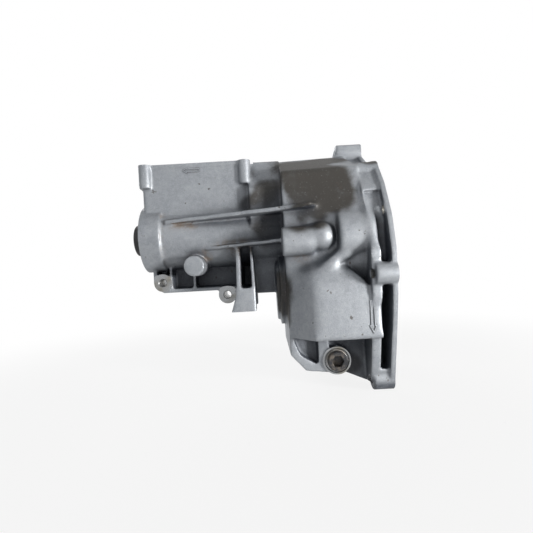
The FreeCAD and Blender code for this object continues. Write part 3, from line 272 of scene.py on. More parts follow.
# Stains and painted shade, as balls of (x, y, z, radius), solid up to a share of their radius; the oil
# films are dark oil film and painted shade together
OIL_AND_SHADE_FILMS = (
    (-92.0, -60.0, 66.0, 44.0), (-62.0, -66.0, 62.0, 44.0), (-80.0, -66.0, 34.0, 40.0),
    (-50.0, -74.0, 34.0, 30.0), (-76.0, -84.0, 8.0, 20.0), (-100.0, -80.0, 8.0, 22.0),
    (-121.0, -46.0, -72.0, 34.0), (-130.0, -30.0, 4.0, 34.0), (-124.0, -52.0, -100.0, 26.0),
    (-8.0, -40.0, 80.0, 22.0), (-92.0, -30.0, 90.0, 50.0), (-50.0, -10.0, 96.0, 40.0),
    (-132.0, -40.0, 48.0, 26.0), (-152.0, -30.0, 34.0, 20.0), (-61.5, -60.0, -154.0, 17.0),
    (-46.0, -52.0, -160.0, 22.0),
)
TAN_STAINS = (
    (-262.0, -36.0, 22.0, 15.0), (-262.0, -40.0, 4.0, 13.0), (-261.0, -38.0, -16.0, 14.0),
    (-259.0, -28.0, -36.0, 16.0), (-256.0, -16.0, -54.0, 14.0), (-244.0, -38.0, 12.0, 16.0),
    (-226.0, -38.0, 14.0, 14.0), (-190.0, -42.0, -22.0, 24.0), (-166.0, -48.0, -20.0, 20.0),
    (-221.0, -30.0, -50.0, 16.0), (-100.0, -78.0, -34.0, 18.0), (-72.0, -60.0, -146.0, 12.0),
    (-206.0, -30.0, -24.0, 14.0), (-168.0, -50.0, -50.0, 20.0),
)
SPOT_CORE = 0.35

# Colours of the casting, painted shade among them, and how metallic its clean skin is and its skin under
# dirt and painted shade
SKIN_DARK = (0.205, 0.222, 0.245, 1)
SKIN_PALE = (0.265, 0.282, 0.305, 1)
CLOUD_GREY = (0.37, 0.39, 0.415, 1)
GRAIN_GREY = (0.48, 0.50, 0.525, 1)
TAN_BROWN = (0.27, 0.165, 0.075, 1)
# The next three: dark oil film that is partly painted shade, brown grime with painted shade in corners,
# painted blue-black shade in hollows
OIL_AND_SHADE_BROWN = (0.034, 0.031, 0.027, 1)
CORNER_GRIME_AND_SHADE = (0.13, 0.10, 0.075, 1)
HOLLOW_SHADE_BLUE = (0.035, 0.042, 0.056, 1)
PIT_GREY = (0.20, 0.20, 0.21, 1)
FLECK_BROWN = (0.05, 0.04, 0.035, 1)
CLEAN_METALLIC = 0.50
DIRT_AND_SHADE_METALLIC = 0.12

# Turned metals: name, bright and dark colour, roughness and the scale of the marks
TURNED_METALS = (
    ("bronze", (0.52, 0.33, 0.14, 1), (0.34, 0.21, 0.09, 1), 0.32, 240.0),
    ("plated_steel", (0.50, 0.47, 0.38, 1), (0.36, 0.33, 0.26, 1), 0.38, 240.0),
    ("bearing_steel", (0.55, 0.56, 0.58, 1), (0.38, 0.38, 0.39, 1), 0.22, 420.0),
    ("spring_steel", (0.30, 0.30, 0.31, 1), (0.17, 0.16, 0.15, 1), 0.3, 240.0),
    ("soft_aluminium", (0.42, 0.41, 0.40, 1), (0.16, 0.13, 0.10, 1), 0.42, 240.0),
)

AXES = {"x": 0, "y": 1, "z": 2}


class Shader:
    """A material's node tree, built by small calls that take numbers or sockets."""

    def __init__(self, name):
        self.material = bpy.data.materials.new(name)
        self.material.use_nodes = True
        self.tree = self.material.node_tree
        self.surface = self.tree.nodes["Principled BSDF"]
        self.place = self.node("ShaderNodeTexCoord").outputs["Object"]

    def node(self, kind, **settings):
        made = self.tree.nodes.new(kind)
        for key, value in settings.items():
            setattr(made, key, value)
        return made

    def feed(self, socket, value):
        """Links an output to a socket, or sets a number or colour on it."""
        if isinstance(value, bpy.types.NodeSocket):
            self.tree.links.new(value, socket)
        else:
            socket.default_value = value

    def math(self, operation, a, b=0.0, clamp=False):
        made = self.node("ShaderNodeMath", operation=operation, use_clamp=clamp)
        self.feed(made.inputs[0], a)
        self.feed(made.inputs[1], b)
        return made.outputs[0]

    def noise(self, scale, detail, rough, distortion=0.0):
        """Soft noise from 0 to 1, with about scale lumps to the metre."""
        made = self.node("ShaderNodeTexNoise")
        self.feed(made.inputs["Vector"], self.place)
        made.inputs["Scale"].default_value = scale
        made.inputs["Detail"].default_value = detail
        made.inputs["Roughness"].default_value = rough
        made.inputs["Distortion"].default_value = distortion
        return made.outputs["Fac"]

    def ramp(self, value, low, high, out_low=0.0, out_high=1.0):
        """A smooth step from out_low at low to out_high at high."""
        made = self.node("ShaderNodeMapRange", clamp=True, interpolation_type="SMOOTHSTEP")
        self.feed(made.inputs["Value"], value)
        for socket, number in zip(made.inputs[1:5], (low, high, out_low, out_high)):
            self.feed(socket, number)
        return made.outputs["Result"]

    def blend(self, share, a, b):
        """Colour a where share is 0, colour b where it is 1."""
        made = self.node("ShaderNodeMix", data_type="RGBA")
        self.feed(made.inputs["Factor"], share)
        self.feed(made.inputs[6], a)
        self.feed(made.inputs[7], b)
        return made.outputs[2]

    def crevices(self, distance, power=1.0, open_face=0.95):
        """0 on open faces, rising to power in corners and hollows of about the distance."""
        made = self.node("ShaderNodeAmbientOcclusion", samples=8)
        made.inputs["Distance"].default_value = distance
        return self.ramp(made.outputs["AO"], open_face, 0.35, 0.0, power)

    def spot(self, centre, radius):
        """1 in the core of a ball, fading out towards its radius."""
        made = self.node("ShaderNodeVectorMath", operation="DISTANCE")
        self.feed(made.inputs[0], self.place)
        made.inputs[1].default_value = Vector(centre) * MM
        return self.ramp(made.outputs["Value"], radius * SPOT_CORE * MM, radius * MM, 1.0, 0.0)

    def spots(self, places):
        """The sum of soft balls, at most 1."""
        total = 0.0
        for x, y, z, radius in places:
            total = self.math("ADD", total, self.spot((x, y, z), radius), clamp=True)
        return total

    def bump(self, height, distance, strength, below=None):
        """A normal for a height from 0 to 1 that stands for a distance, on top of another normal."""
        made = self.node("ShaderNodeBump")
        made.inputs["Distance"].default_value = distance
        made.inputs["Strength"].default_value = strength
        self.feed(made.inputs["Height"], height)
        if below:
            self.feed(made.inputs["Normal"], below)
        return made.outputs["Normal"]

    def finish(self, colour, metal, rough, normal):
        self.feed(self.surface.inputs["Base Color"], colour)
        self.feed(self.surface.inputs["Metallic"], metal)
        self.feed(self.surface.inputs["Roughness"], rough)
        self.feed(self.surface.inputs["Normal"], normal)
        return self.material


def cast_aluminium():
    """Shot-blasted die-cast skin: mottled grey, with brown grime and painted shade in its corners, painted
    blue-black shade in its hollows, dark oil film that is partly painted shade, and tan stains.
    """
    s = Shader("cast_aluminium")
    grain = s.noise(1100.0, 4.0, 0.6)
    pits = s.ramp(s.noise(420.0, 3.0, 0.55), 0.60, 0.74)
    waves = s.noise(60.0, 3.0, 0.5)
    mottle = s.noise(38.0, 4.0, 0.6)
    stain = s.noise(85.0, 5.0, 0.65, distortion=0.6)
    fleck = s.ramp(s.noise(150.0, 2.0, 0.4), 0.72, 0.76)
    colour = s.blend(s.ramp(mottle, 0.3, 0.7), SKIN_DARK, SKIN_PALE)
    cloud = s.ramp(s.noise(210.0, 4.0, 0.7), 0.4, 0.66)
    colour = s.blend(s.math("MULTIPLY", cloud, 0.3), colour, CLOUD_GREY)
    colour = s.blend(s.ramp(grain, 0.35, 0.75, 0.0, 0.35), colour, GRAIN_GREY)
    tan = s.math("MULTIPLY", s.spots(TAN_STAINS), s.ramp(stain, 0.36, 0.62))
    tan = s.math("MULTIPLY", tan, s.crevices(0.014, 2.2, 0.99), clamp=True)
    colour = s.blend(s.math("MULTIPLY", tan, 0.9), colour, TAN_BROWN)
    # Dark oil film, partly painted shade: on the upper bell wall and on the neck beside the tower it stands
    # in for shade
    smear = s.noise(26.0, 5.0, 0.6, distortion=0.8)
    film = s.math("ADD", s.spots(OIL_AND_SHADE_FILMS), s.ramp(smear, 0.3, 0.7, -0.28, 0.12))
    film = s.math("MULTIPLY", s.ramp(film, 0.08, 0.85), s.ramp(stain, 0.22, 0.42, 0.86, 1.0))
    colour = s.blend(film, colour, OIL_AND_SHADE_BROWN)
    # Brown grime and painted shade in the tight corners, from ambient occlusion
    corner = s.math("MULTIPLY", s.crevices(0.010), s.ramp(stain, 0.42, 0.62), clamp=True)
    colour = s.blend(s.math("MULTIPLY", corner, 0.7), colour, CORNER_GRIME_AND_SHADE)
    # Painted blue-black shade in the deeper hollows, from ambient occlusion
    painted_hollow_shade = s.math("MULTIPLY", s.crevices(0.032), s.ramp(stain, 0.2, 0.5, 0.75, 1.0), clamp=True)
    colour = s.blend(s.math("MULTIPLY", painted_hollow_shade, 0.92), colour, HOLLOW_SHADE_BLUE)
    colour = s.blend(s.math("MULTIPLY", pits, 0.35), colour, PIT_GREY)
    colour = s.blend(s.math("MULTIPLY", fleck, 0.8), colour, FLECK_BROWN)
    # Dirt and painted shade make the skin less metallic and rougher
    dirt_and_shade = s.math("MAXIMUM", s.math("MAXIMUM", film, painted_hollow_shade), s.math("MAXIMUM", tan, fleck))
    rough = s.math("ADD", s.ramp(grain, 0.3, 0.7, 0.42, 0.56), s.math("MULTIPLY", dirt_and_shade, 0.1))
    normal = s.bump(waves, 0.5 * MM, 0.5)
    normal = s.bump(grain, 0.22 * MM, 0.8, normal)
    normal = s.bump(s.math("SUBTRACT", 1.0, pits), 0.15 * MM, 0.5, normal)
    return s.finish(colour, s.ramp(dirt_and_shade, 0.0, 1.0, CLEAN_METALLIC, DIRT_AND_SHADE_METALLIC), rough, normal)


def machined_aluminium():
    """Milled or turned faces, with arcs left by the cutter and a thin film of old oil."""
    s = Shader("machined_aluminium")
    arcs = s.node("ShaderNodeTexWave", wave_type="RINGS", rings_direction="SPHERICAL")
    s.feed(arcs.inputs["Vector"], s.place)
    arcs.inputs["Scale"].default_value = 520.0
    arcs.inputs["Distortion"].default_value = 1.2
    arcs.inputs["Detail"].default_value = 2.0
    film = s.ramp(s.noise(45.0, 5.0, 0.6), 0.45, 0.7)
    scratches = s.noise(260.0, 5.0, 0.7)
    colour = s.blend(film, (0.30, 0.31, 0.32, 1), (0.20, 0.19, 0.165, 1))
    rough = s.math("ADD", s.ramp(scratches, 0.35, 0.7, 0.24, 0.42), s.math("MULTIPLY", film, 0.12))
    normal = s.bump(arcs.outputs["Fac"], 0.05 * MM, 0.35)
    normal = s.bump(scratches, 0.05 * MM, 0.3, normal)
    return s.finish(colour, 0.95, rough, normal)


def turned_metal(name, bright, dark, rough, grain):
    """Turned or ground metal with fine marks and darker blotches."""
    s = Shader(name)
    blotch = s.ramp(s.noise(70.0, 4.0, 0.6), 0.4, 0.7)
    marks = s.noise(grain, 5.0, 0.7)
    colour = s.blend(blotch, bright, dark)
    normal = s.bump(marks, 0.06 * MM, 0.5)
    return s.finish(colour, 1.0, s.ramp(marks, 0.3, 0.7, rough - 0.07, rough + 0.1), normal)


def dark_steel():
    """Blackened steel, worn brown-grey, with oily dirt."""
    s = Shader("dark_steel")
    dirt = s.ramp(s.noise(160.0, 5.0, 0.65), 0.42, 0.66)
    marks = s.noise(700.0, 4.0, 0.6)
    colour = s.blend(dirt, (0.035, 0.036, 0.04, 1), (0.11, 0.095, 0.08, 1))
    normal = s.bump(marks, 0.1 * MM, 0.6)
    return s.finish(colour, 0.5, s.ramp(dirt, 0.0, 1.0, 0.36, 0.6), normal)


def black_rubber():
    """Matt moulded rubber with a dusty bloom."""
    s = Shader("black_rubber")
    bloom = s.ramp(s.noise(110.0, 5.0, 0.6), 0.45, 0.75)
    skin = s.noise(1500.0, 3.0, 0.6)
    colour = s.blend(s.math("MULTIPLY", bloom, 0.6), (0.012, 0.012, 0.014, 1), (0.045, 0.044, 0.045, 1))
    return s.finish(colour, 0.0, s.ramp(bloom, 0.0, 1.0, 0.5, 0.75), s.bump(skin, 0.06 * MM, 0.5))


def black_plastic():
    """Glass-filled moulded plastic with a fine spark-eroded grain."""
    s = Shader("black_plastic")
    grain = s.noise(1900.0, 2.0, 0.5)
    dust = s.ramp(s.noise(90.0, 4.0, 0.6), 0.5, 0.75)
    colour = s.blend(s.math("MULTIPLY", dust, 0.5), (0.022, 0.022, 0.024, 1), (0.07, 0.068, 0.065, 1))
    return s.finish(colour, 0.0, s.ramp(grain, 0.3, 0.7, 0.42, 0.58), s.bump(grain, 0.08 * MM, 0.5))


def magnet():
    """Plated sintered magnet with fine steel dust on it."""
    s = Shader("magnet")
    dust = s.ramp(s.noise(900.0, 5.0, 0.7), 0.5, 0.62)
    colour = s.blend(dust, (0.24, 0.24, 0.25, 1), (0.06, 0.058, 0.055, 1))
    return s.finish(colour, 0.8, s.ramp(dust, 0.0, 1.0, 0.35, 0.75), s.bump(dust, 0.25 * MM, 0.6))


CAST = cast_aluminium()
MILLED = machined_aluminium()
FINISHES = {row[0]: turned_metal(*row) for row in TURNED_METALS}
for make in (dark_steel, black_rubber, black_plastic, magnet):
    FINISHES[make.__name__] = make()


def linked(name, data):
    """A new object in the scene that shows a mesh, a light or a camera."""
    made = bpy.data.objects.new(name, data)
    bpy.context.scene.collection.objects.link(made)
    return made


def point(axis, along, across):
    """A point in metres from millimetres along an axis and on the other two, in their order."""
    place = list(across)
    place.insert(AXES[axis], along)
    return Vector(place) * MM


def hexagon(half):
    """The radius of a hexagon at each angle, for half its width across flats."""
    sixth = math.pi / 3
    return lambda turn: half / math.cos(turn % sixth - sixth / 2)


def bridge(bm, one, two):
    """Four-sided faces between two rings of as many vertices."""
    count = len(one)
    for i in range(count):
        j = (i + 1) % count
        bm.faces.new((one[i], one[j], two[j], two[i]))


def lathe(bm, axis, place, profile, sides=LATHE_SIDES):
    """A closed solid of revolution through (along, radius) points in millimetres, with flat ends."""
    rings = []
    for along, radius in profile:
        ring = []
        for i in range(sides):
            turn = 2 * math.pi * i / sides
            size = radius(turn) if callable(radius) else radius
            across = (place[0] + size * math.cos(turn), place[1] + size * math.sin(turn))
            ring.append(bm.verts.new(point(axis, along, across)))
        rings.append(ring)
    for one, two in zip(rings, rings[1:]):
        bridge(bm, one, two)
    bm.faces.new(rings[0])
    bm.faces.new(rings[-1])


def block(bm, low, high):
    """A closed box between two corners, in millimetres."""
    made = bmesh.ops.create_cube(bm, size=1.0)
    low, high = Vector(low) * MM, Vector(high) * MM
    for v in made["verts"]:
        v.co = Vector([low[i] + (v.co[i] + 0.5) * (high[i] - low[i]) for i in range(3)])


def as_mesh(name, bm):
    """The bmesh's content as a new mesh; the bmesh is freed."""
    mesh = bpy.data.meshes.new(name)
    bm.to_mesh(mesh)
    bm.free()
    return mesh


def mesh_of(name, build):
    """A mesh filled by a function that takes a bmesh."""
    bm = bmesh.new()
    build(bm)
    bmesh.ops.recalc_face_normals(bm, faces=bm.faces)
    return as_mesh(name, bm)


def solid_of(name):
    """A bmesh of a node's solid, with its corners merged."""
    bm = bmesh.new()
    bm.from_mesh(frame["nodes"][name].data)
    bmesh.ops.remove_doubles(bm, verts=bm.verts, dist=MERGE)
    return bm


def bores():
    """Each bore as its axis, its place, its points from the mouth inwards, and whether it goes through."""
    holes = [
        ("x", OUTPUT, OUTPUT_BORE, True),
        ("x", COUNTERSHAFT, CUP_BORE, False),
        ("x", RAIL, RAIL_FRONT_BORE, True),
        ("x", RAIL, RAIL_REAR_BORE, True),
        ("y", DRAIN, DRAIN_BORE, True),
        ("y", SENSOR, SENSOR_BORE, True),
        ("y", SENSOR_BOLT, SENSOR_BOLT_BORE, False),
        ("y", LOCKOUT, LOCKOUT_BORE, True),
    ]
    straight = (
        ("x", (TOP_BOLT,), FRONT, -LONG_BOSS, CASE_BOLT_R, True),
        ("x", FLANGE_BOLTS, FRONT, -SHORT_BOSS, CASE_BOLT_R, True),
        ("x", DOWELS, FRONT, -DOWEL_DEPTH, DOWEL_R, False),
        ("z", TOWER_BOLTS, TOWER_TOP, TOWER_TOP - BLIND_DEPTH, TOWER_BOLT_R, False),
        ("z", MOUNT_BOLTS, MOUNT_FOOT, MOUNT_FOOT + BLIND_DEPTH, MOUNT_BOLT_R, False),
        ("y", EARS, EAR_NEAR, EAR_FAR, EAR_BOLT_R, True),
    )
    for axis, places, mouth, end, radius, through in straight:
        holes += [(axis, place, ((mouth, radius), (end, radius)), through) for place in places]
    return holes


def add_stock(bm):
    """Metal left on the machined planes, and in the bores, which the cutters take off again."""
    for axis, out, place, _, _ in PLANES:
        i = AXES[axis]
        for v in bm.verts:
            if abs(v.co[i] - place * MM) < PLANE_TOLERANCE:
                v.co[i] += out * STOCK * MM
    for axis, place, profile, _ in bores():
        mouth, last = profile[0][0], profile[-1][0]
        inward = 1 if last > mouth else -1
        for (along, radius), (after, _) in zip(profile, profile[1:]):
            if after != along:
                start = along - inward * (BORE_STOCK_OUT if along == mouth else BORE_STOCK_LAP)
                end = after - inward * BORE_STOCK_SHORT if after == last else after
                core = radius + BORE_STOCK
                lathe(bm, axis, place, ((start, core), (end, core)), STOCK_SIDES)
    for place in EARS:
        for face, out in ((EAR_NEAR, -1), (EAR_FAR, 1)):
            ends = sorted((face + out * EAR_STOCK, face - out * EAR_STOCK_SUNK))
            lathe(bm, "y", place, [(along, EAR_R) for along in ends], STOCK_SIDES)


def face_cutters(bm):
    """Boxes whose inner side lies on each machined plane, and discs for the ears' two faces."""
    for axis, out, place, first, second in PLANES:
        ends = sorted((place, place + out * (STOCK + OVERRUN)))
        corners = [[first[i], second[i]] for i in (0, 1)]
        for i in (0, 1):
            corners[i].insert(AXES[axis], ends[i])
        block(bm, corners[0], corners[1])
    for place in EARS:
        for face, out in ((EAR_NEAR, -1), (EAR_FAR, 1)):
            radius = EAR_R + EAR_CUT_WIDER
            lathe(bm, "y", place, ((face, radius), (face + out * OVERRUN, radius)))


def bore_cutters(bm):
    """A stepped drill for each bore, with a small chamfer at its mouth."""
    for axis, place, profile, through in bores():
        (mouth, radius), (end, last) = profile[0], profile[-1]
        inward = 1 if end > mouth else -1
        tool = [(mouth - inward * OVERRUN, radius + CHAMFER), (mouth, radius + CHAMFER),
                (mouth + inward * CHAMFER, radius)]
        tool += profile[1:]
        if through:
            tool[-1] = (end + inward * OVERRUN, last)
        lathe(bm, axis, place, tool)


def apply_modifiers(obj):
    """Turns the object's modifiers into its mesh."""
    graph = bpy.context.evaluated_depsgraph_get()
    mesh = bpy.data.meshes.new_from_object(obj.evaluated_get(graph), depsgraph=graph)
    old = obj.data
    obj.modifiers.clear()
    obj.data = mesh
    bpy.data.meshes.remove(old)


def modify(obj, kind, **settings):
    """A new modifier of a kind, with its settings."""
    made = obj.modifiers.new(kind.lower(), kind)
    for key, value in settings.items():
        setattr(made, key, value)
    return made


def joined(obj, name, build, operation, material):
    """Adds closed solids to obj, or takes them off it; the new faces wear the given material."""
    tool = linked(name, mesh_of(name, build))
    tool.data.materials.append(material)
    modify(obj, "BOOLEAN", operation=operation, object=tool, solver="MANIFOLD", material_mode="TRANSFER")
    apply_modifiers(obj)
    bpy.data.objects.remove(tool)


def cut(obj, name, build):
    """Takes a closed set of tools off obj; what they leave is milled metal."""
    joined(obj, name, build, "DIFFERENCE", MILLED)


def soften(skin):
    """Blends the lobes into each other: more smoothing where a box with soft sides says so."""
    places = np.empty(3 * len(skin.data.vertices))
    skin.data.vertices.foreach_get("co", places)
    places = places.reshape(-1, 3) / MM
    share = np.zeros(len(places))
    for low, high, amount in SOFT_BOXES:
        inside = np.minimum(places - low, high - places).min(axis=1)
        share = np.maximum(share, amount * np.clip(inside / SOFT_EDGE, 0.0, 1.0))
    levels = np.round(share * SOFT_LEVELS).astype(int)
    group = skin.vertex_groups.new(name="soft")
    for level in range(1, SOFT_LEVELS + 1):
        chosen = np.nonzero(levels == level)[0].tolist()
        if chosen:
            group.add(chosen, level / SOFT_LEVELS, "REPLACE")
    modify(skin, "SMOOTH", factor=SMOOTH_FACTOR, iterations=SOFT_STEPS, vertex_group="soft")
    apply_modifiers(skin)
    skin.vertex_groups.clear()


def rim(bm, outline, width, place, axis, low, high):
    """A raised line of the given width inside an outline: a closed ring between two planes."""
    count = len(outline)
    inner = []
    for i in range(count):
        here = Vector(outline[i])
        back = (here - Vector(outline[i - 1])).normalized()
        ahead = (Vector(outline[(i + 1) % count]) - here).normalized()
        normals = Vector((-back.y, back.x)), Vector((-ahead.y, ahead.x))
        bisector = (normals[0] + normals[1]).normalized()
        inner.append(here + bisector * (width / bisector.dot(normals[0])))
    rings = []
    for line, along in ((outline, low), (outline, high), (inner, high), (inner, low)):
        rings.append([bm.verts.new(point(axis, along, (place[0] + u, place[1] + v))) for u, v in line])
    for one, two in zip(rings, rings[1:] + rings[:1]):
        bridge(bm, one, two)


def cast_marks(bm):
    """Raised outlines: an arrow on the tower, an arrow towards the drain plug and two ejector rings."""
    rim(bm, ARROW, MARK_LINE, TOWER_ARROW, "y", TOWER_NEAR - MARK_HEIGHT, TOWER_NEAR + TOWER_ARROW_ROOT)
    down = [(v * DRAIN_ARROW_WIDTH, u * DRAIN_ARROW_LENGTH) for u, v in ARROW]
    root = LOBE_NEAR + DRAIN_ARROW_ROOT
    rim(bm, down[::-1], DRAIN_ARROW_LINE, DRAIN_ARROW, "y", LOBE_NEAR - MARK_HEIGHT, root)
    turns = [2 * math.pi * i / EJECTOR_SIDES for i in range(EJECTOR_SIDES)]
    ring = [(EJECTOR_R * math.cos(turn), EJECTOR_R * math.sin(turn)) for turn in turns]
    for place in EJECTOR_MARKS:
        rim(bm, ring, EJECTOR_LINE, place, "y", WEB_NEAR - EJECTOR_HEIGHT, WEB_NEAR + EJECTOR_ROOT)


def casting():
    """The housing as cast and then machined: rounded everywhere, crisp where a cutter went."""
    bm = solid_of("extension_housing")
    add_stock(bm)
    bmesh.ops.recalc_face_normals(bm, faces=bm.faces)
    skin = linked("casting", as_mesh("casting", bm))
    modify(skin, "REMESH", mode="VOXEL", voxel_size=VOXEL)
    modify(skin, "SMOOTH", factor=SMOOTH_FACTOR, iterations=SMOOTH_STEPS)
    apply_modifiers(skin)
    soften(skin)
    share = SKIN_FACES / (2 * len(skin.data.polygons))
    modify(skin, "DECIMATE", ratio=min(share, 1.0))
    apply_modifiers(skin)
    skin.data.materials.append(CAST)
    joined(skin, "cast_marks", cast_marks, "UNION", CAST)
    cut(skin, "face_cutters", face_cutters)
    cut(skin, "bore_cutters", bore_cutters)
    skin.data.shade_smooth()
    skin.data.set_sharp_from_angle(angle=SHARP_ANGLE)
    return skin


housing = casting()
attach(housing, "root")
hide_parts("extension_housing")


def tube(bm, points, radius, sides, closed=False):
    """A round wire through points in metres, with flat ends or closed on itself."""
    count = len(points)
    turns = [2 * math.pi * k / sides for k in range(sides)]
    rings = []
    side = None
    for i, here in enumerate(points):
        before = points[i - 1] if i or closed else here
        after = points[(i + 1) % count] if i + 1 < count or closed else here
        along = (after - before).normalized()
        side = along.orthogonal() if side is None else side - along * side.dot(along)
        side.normalize()
        up = along.cross(side)
        rings.append([bm.verts.new(here + (side * math.cos(t) + up * math.sin(t)) * radius) for t in turns])
    for one, two in zip(rings, rings[1:]):
        bridge(bm, one, two)
    if closed:
        shift = min(range(sides), key=lambda k: (rings[0][k].co - rings[-1][0].co).length)
        bridge(bm, rings[-1], rings[0][shift:] + rings[0][:shift])
    else:
        bm.faces.new(rings[0])
        bm.faces.new(rings[-1])


def stands_for(piece, name):
    """The piece takes the CAD node's place: its body, its slot and its finish."""
    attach(piece, body_names[name])
    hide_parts(name)
    piece.data.materials.clear()
    piece.data.materials.append(FINISHES[slots[name]])
    piece.data.shade_smooth()
    piece.data.set_sharp_from_angle(angle=SHARP_ANGLE)


def broken_edges(name, width):
    """A copy of a node's solid with its sharp edges rounded over."""
    bm = solid_of(name)
    bmesh.ops.dissolve_limit(bm, angle_limit=FLAT_ANGLE, verts=bm.verts, edges=bm.edges)
    piece = linked(name + "_piece", as_mesh(name + "_piece", bm))
    if width:
        bevel = modify(piece, "BEVEL", width=width * MM, segments=BREAK_SEGMENTS)
        bevel.limit_method = "ANGLE"
        bevel.angle_limit = BREAK_ANGLE
        apply_modifiers(piece)
    return piece


def drain_plug(bm):
    """The plug from the bottom of its socket, round its head and threaded shank, to its magnet's pocket."""
    low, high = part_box("drain_plug")
    back, tip = low.y / MM, high.y / MM
    head = (high.x - low.x) / MM / 2
    profile = [
        (back + SOCKET_DEPTH, hexagon(SOCKET_HALF)),
        (back + SOCKET_CHAMFER, hexagon(SOCKET_HALF)),
        (back, hexagon(SOCKET_HALF + SOCKET_CHAMFER)),
        (back, head - HEAD_CHAMFER_DEPTH),
        (back + HEAD_CHAMFER_LENGTH, head),
        (DRAIN_SEAT - SEAT_CHAMFER, head),
        (DRAIN_SEAT, head - SEAT_CHAMFER),
        (DRAIN_SEAT, THREAD_R - THREAD_RELIEF),
    ]
    for k in range(int((tip - THREAD_FROM - THREAD_RUNOUT) / THREAD_PITCH)):
        start = THREAD_FROM + k * THREAD_PITCH
        profile.append((start, THREAD_R - THREAD_DEPTH))
        profile += [(start + share * THREAD_PITCH, THREAD_R) for share in THREAD_CREST]
    profile += [
        (tip - TIP_CHAMFER, THREAD_R - TIP_RELIEF),
        (tip, THREAD_R - TIP_RELIEF - TIP_CHAMFER),
        (tip, MAGNET_R),
        (tip - MAGNET_POCKET, MAGNET_R),
    ]
    lathe(bm, "y", DRAIN, profile)


def return_spring(bm):
    """The lockout's spring with its end turns closed."""
    low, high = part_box("lockout_spring")
    coil = (high.x - low.x) / 2 - SPRING_WIRE * MM
    middle = (low + high) / 2
    start, end = low.y + SPRING_WIRE * MM, high.y - SPRING_WIRE * MM
    steps = int(SPRING_TURNS * SPRING_STEPS)
    closed_share = SPRING_CLOSED_TURNS / SPRING_TURNS
    points = []
    for i in range(steps + 1):
        part = i / steps
        turn = 2 * math.pi * SPRING_TURNS * part
        rise = min(max((part - closed_share) / (1 - 2 * closed_share), 0.0), 1.0)
        lift = start + (end - start) * rise
        points.append(Vector((middle.x + coil * math.cos(turn), lift, middle.z + coil * math.sin(turn))))
    tube(bm, points, SPRING_WIRE * MM, SPRING_SIDES)


def garter_coil(bm):
    """The fine coil spring, closed on itself, that presses the lip onto the shaft."""
    low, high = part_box("garter_spring")
    outer = (high.x - low.x) / 2
    ring = (high.y - low.y) / 2 - outer
    coil = outer - GARTER_WIRE * MM
    middle = (low + high) / 2
    steps = GARTER_TURNS * GARTER_STEPS
    points = []
    for i in range(steps):
        round_ring = 2 * math.pi * i / steps
        turn = GARTER_TURNS * round_ring
        radius = ring + coil * math.cos(turn)
        x = middle.x + coil * math.sin(turn)
        points.append(Vector((x, radius * math.cos(round_ring), radius * math.sin(round_ring))))
    tube(bm, points, GARTER_WIRE * MM, GARTER_SIDES, closed=True)


def sensor_pins(bm):
    """Three contact blades in the plug socket of the speed sensor."""
    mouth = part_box("speed_sensor")[0].x / MM
    for k in (-1, 0, 1):
        z = SENSOR[1] + k * PIN_PITCH
        low = (mouth + PIN_DEPTH, PIN_Y - PIN_HALF_THICKNESS, z - PIN_HALF_WIDTH)
        high = (SENSOR[0] - PIN_END, PIN_Y + PIN_HALF_THICKNESS, z + PIN_HALF_WIDTH)
        block(bm, low, high)


slots = {p["node"]: p["material_slot"] for p in frame["record"]["subparts"]}
bodies = frame["record"]["behaviour"]["bodies"]
body_names = {node: body for body, nodes in bodies.items() for node in nodes}

for name, width in BREAKS.items():
    stands_for(broken_edges(name, width), name)

plug = linked("drain_plug_piece", mesh_of("drain_plug_piece", drain_plug))
stands_for(plug, "drain_plug")

garter = linked("garter_coil", mesh_of("garter_coil", garter_coil))
stands_for(garter, "garter_spring")

spring = linked("return_spring", mesh_of("return_spring", return_spring))
stands_for(spring, "lockout_spring")
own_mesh(spring)

pins = linked("sensor_pins", mesh_of("sensor_pins", sensor_pins))
pins.data.materials.append(FINISHES["bronze"])
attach(pins, "root")


def floor_material():
    """Pale grey that keeps the object's shadow, and turns to the world's white away from it."""
    s = Shader("floor")
    away = s.node("ShaderNodeVectorMath", operation="LENGTH")
    s.feed(away.inputs[0], s.place)
    s.surface.inputs["Roughness"].default_value = FLOOR_ROUGHNESS
    s.surface.inputs["Base Color"].default_value = FLOOR_COLOUR
    paths = s.node("ShaderNodeLightPath")
    seen = 0.0
    for ray in WHITE_RAYS:
        seen = s.math("MAXIMUM", seen, paths.outputs[ray])
    near = s.ramp(away.outputs["Value"], FLOOR_NEAR, FLOOR_FAR, FLOOR_GLOW, WHITE_LEVEL)
    glow = s.node("ShaderNodeEmission")
    mix = s.node("ShaderNodeMixShader")
    s.feed(mix.inputs[0], s.math("MULTIPLY", seen, near))
    s.tree.links.new(s.surface.outputs[0], mix.inputs[1])
    s.tree.links.new(glow.outputs[0], mix.inputs[2])
    s.tree.links.new(mix.outputs[0], s.tree.nodes["Material Output"].inputs["Surface"])
    return s.material


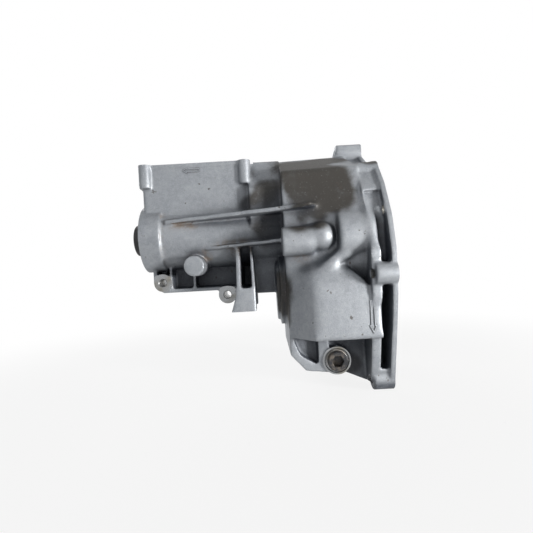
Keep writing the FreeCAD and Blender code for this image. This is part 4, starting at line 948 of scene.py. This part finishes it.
def stage():
    """A wide floor under the lowest point of the object."""
    floor = linked("floor", mesh_of("floor", lambda bm: bmesh.ops.create_grid(bm, size=FLOOR_HALF)))
    floor.location = (centre.x, centre.y, cad_box[0].z)
    floor.data.materials.append(floor_material())


def area_light(name, place, size, power, colour):
    """A rectangular light that faces the middle of the object."""
    light = bpy.data.lights.new(name, "AREA")
    light.shape = "RECTANGLE"
    light.size, light.size_y = size
    light.energy = power
    light.color = colour
    lamp = linked(name, light)
    lamp.location = place
    lamp.rotation_euler = (centre - Vector(place)).to_track_quat("-Z", "Y").to_euler()


def world():
    """White to the camera and in reflections, and a dim light on the object itself."""
    made = bpy.data.worlds.new("studio")
    made.use_nodes = True
    tree = made.node_tree
    back = tree.nodes["Background"]
    paths = tree.nodes.new("ShaderNodeLightPath")
    last = WORLD_LEVEL
    for ray in WHITE_RAYS:
        pick = tree.nodes.new("ShaderNodeMix")
        tree.links.new(paths.outputs[ray], pick.inputs["Factor"])
        if isinstance(last, float):
            pick.inputs["A"].default_value = last
        else:
            tree.links.new(last, pick.inputs["A"])
        pick.inputs["B"].default_value = WHITE_LEVEL
        last = pick.outputs["Result"]
    tree.links.new(last, back.inputs["Strength"])
    back.inputs["Color"].default_value = (1, 1, 1, 1)
    bpy.context.scene.world = made


def camera():
    """A view along +Y, rolled a little, as the photograph is."""
    data = bpy.data.cameras.new("camera")
    data.sensor_width = SENSOR_WIDTH
    data.lens = SENSOR_WIDTH * FOCAL_SHARE
    data.clip_start = 0.01
    made = linked("camera", data)
    made.location = CAMERA_PLACE
    right = Vector((math.cos(CAMERA_ROLL), 0, -math.sin(CAMERA_ROLL)))
    up = Vector((math.sin(CAMERA_ROLL), 0, math.cos(CAMERA_ROLL)))
    back = Vector((0, -1, 0))
    made.rotation_euler = Matrix((right, up, back)).transposed().to_euler()
    bpy.context.scene.camera = made


centre = (cad_box[0] + cad_box[1]) / 2
stage()
world()
for row in LIGHTS:
    area_light(*row)
camera()
bpy.context.scene.view_settings.view_transform = "Standard"
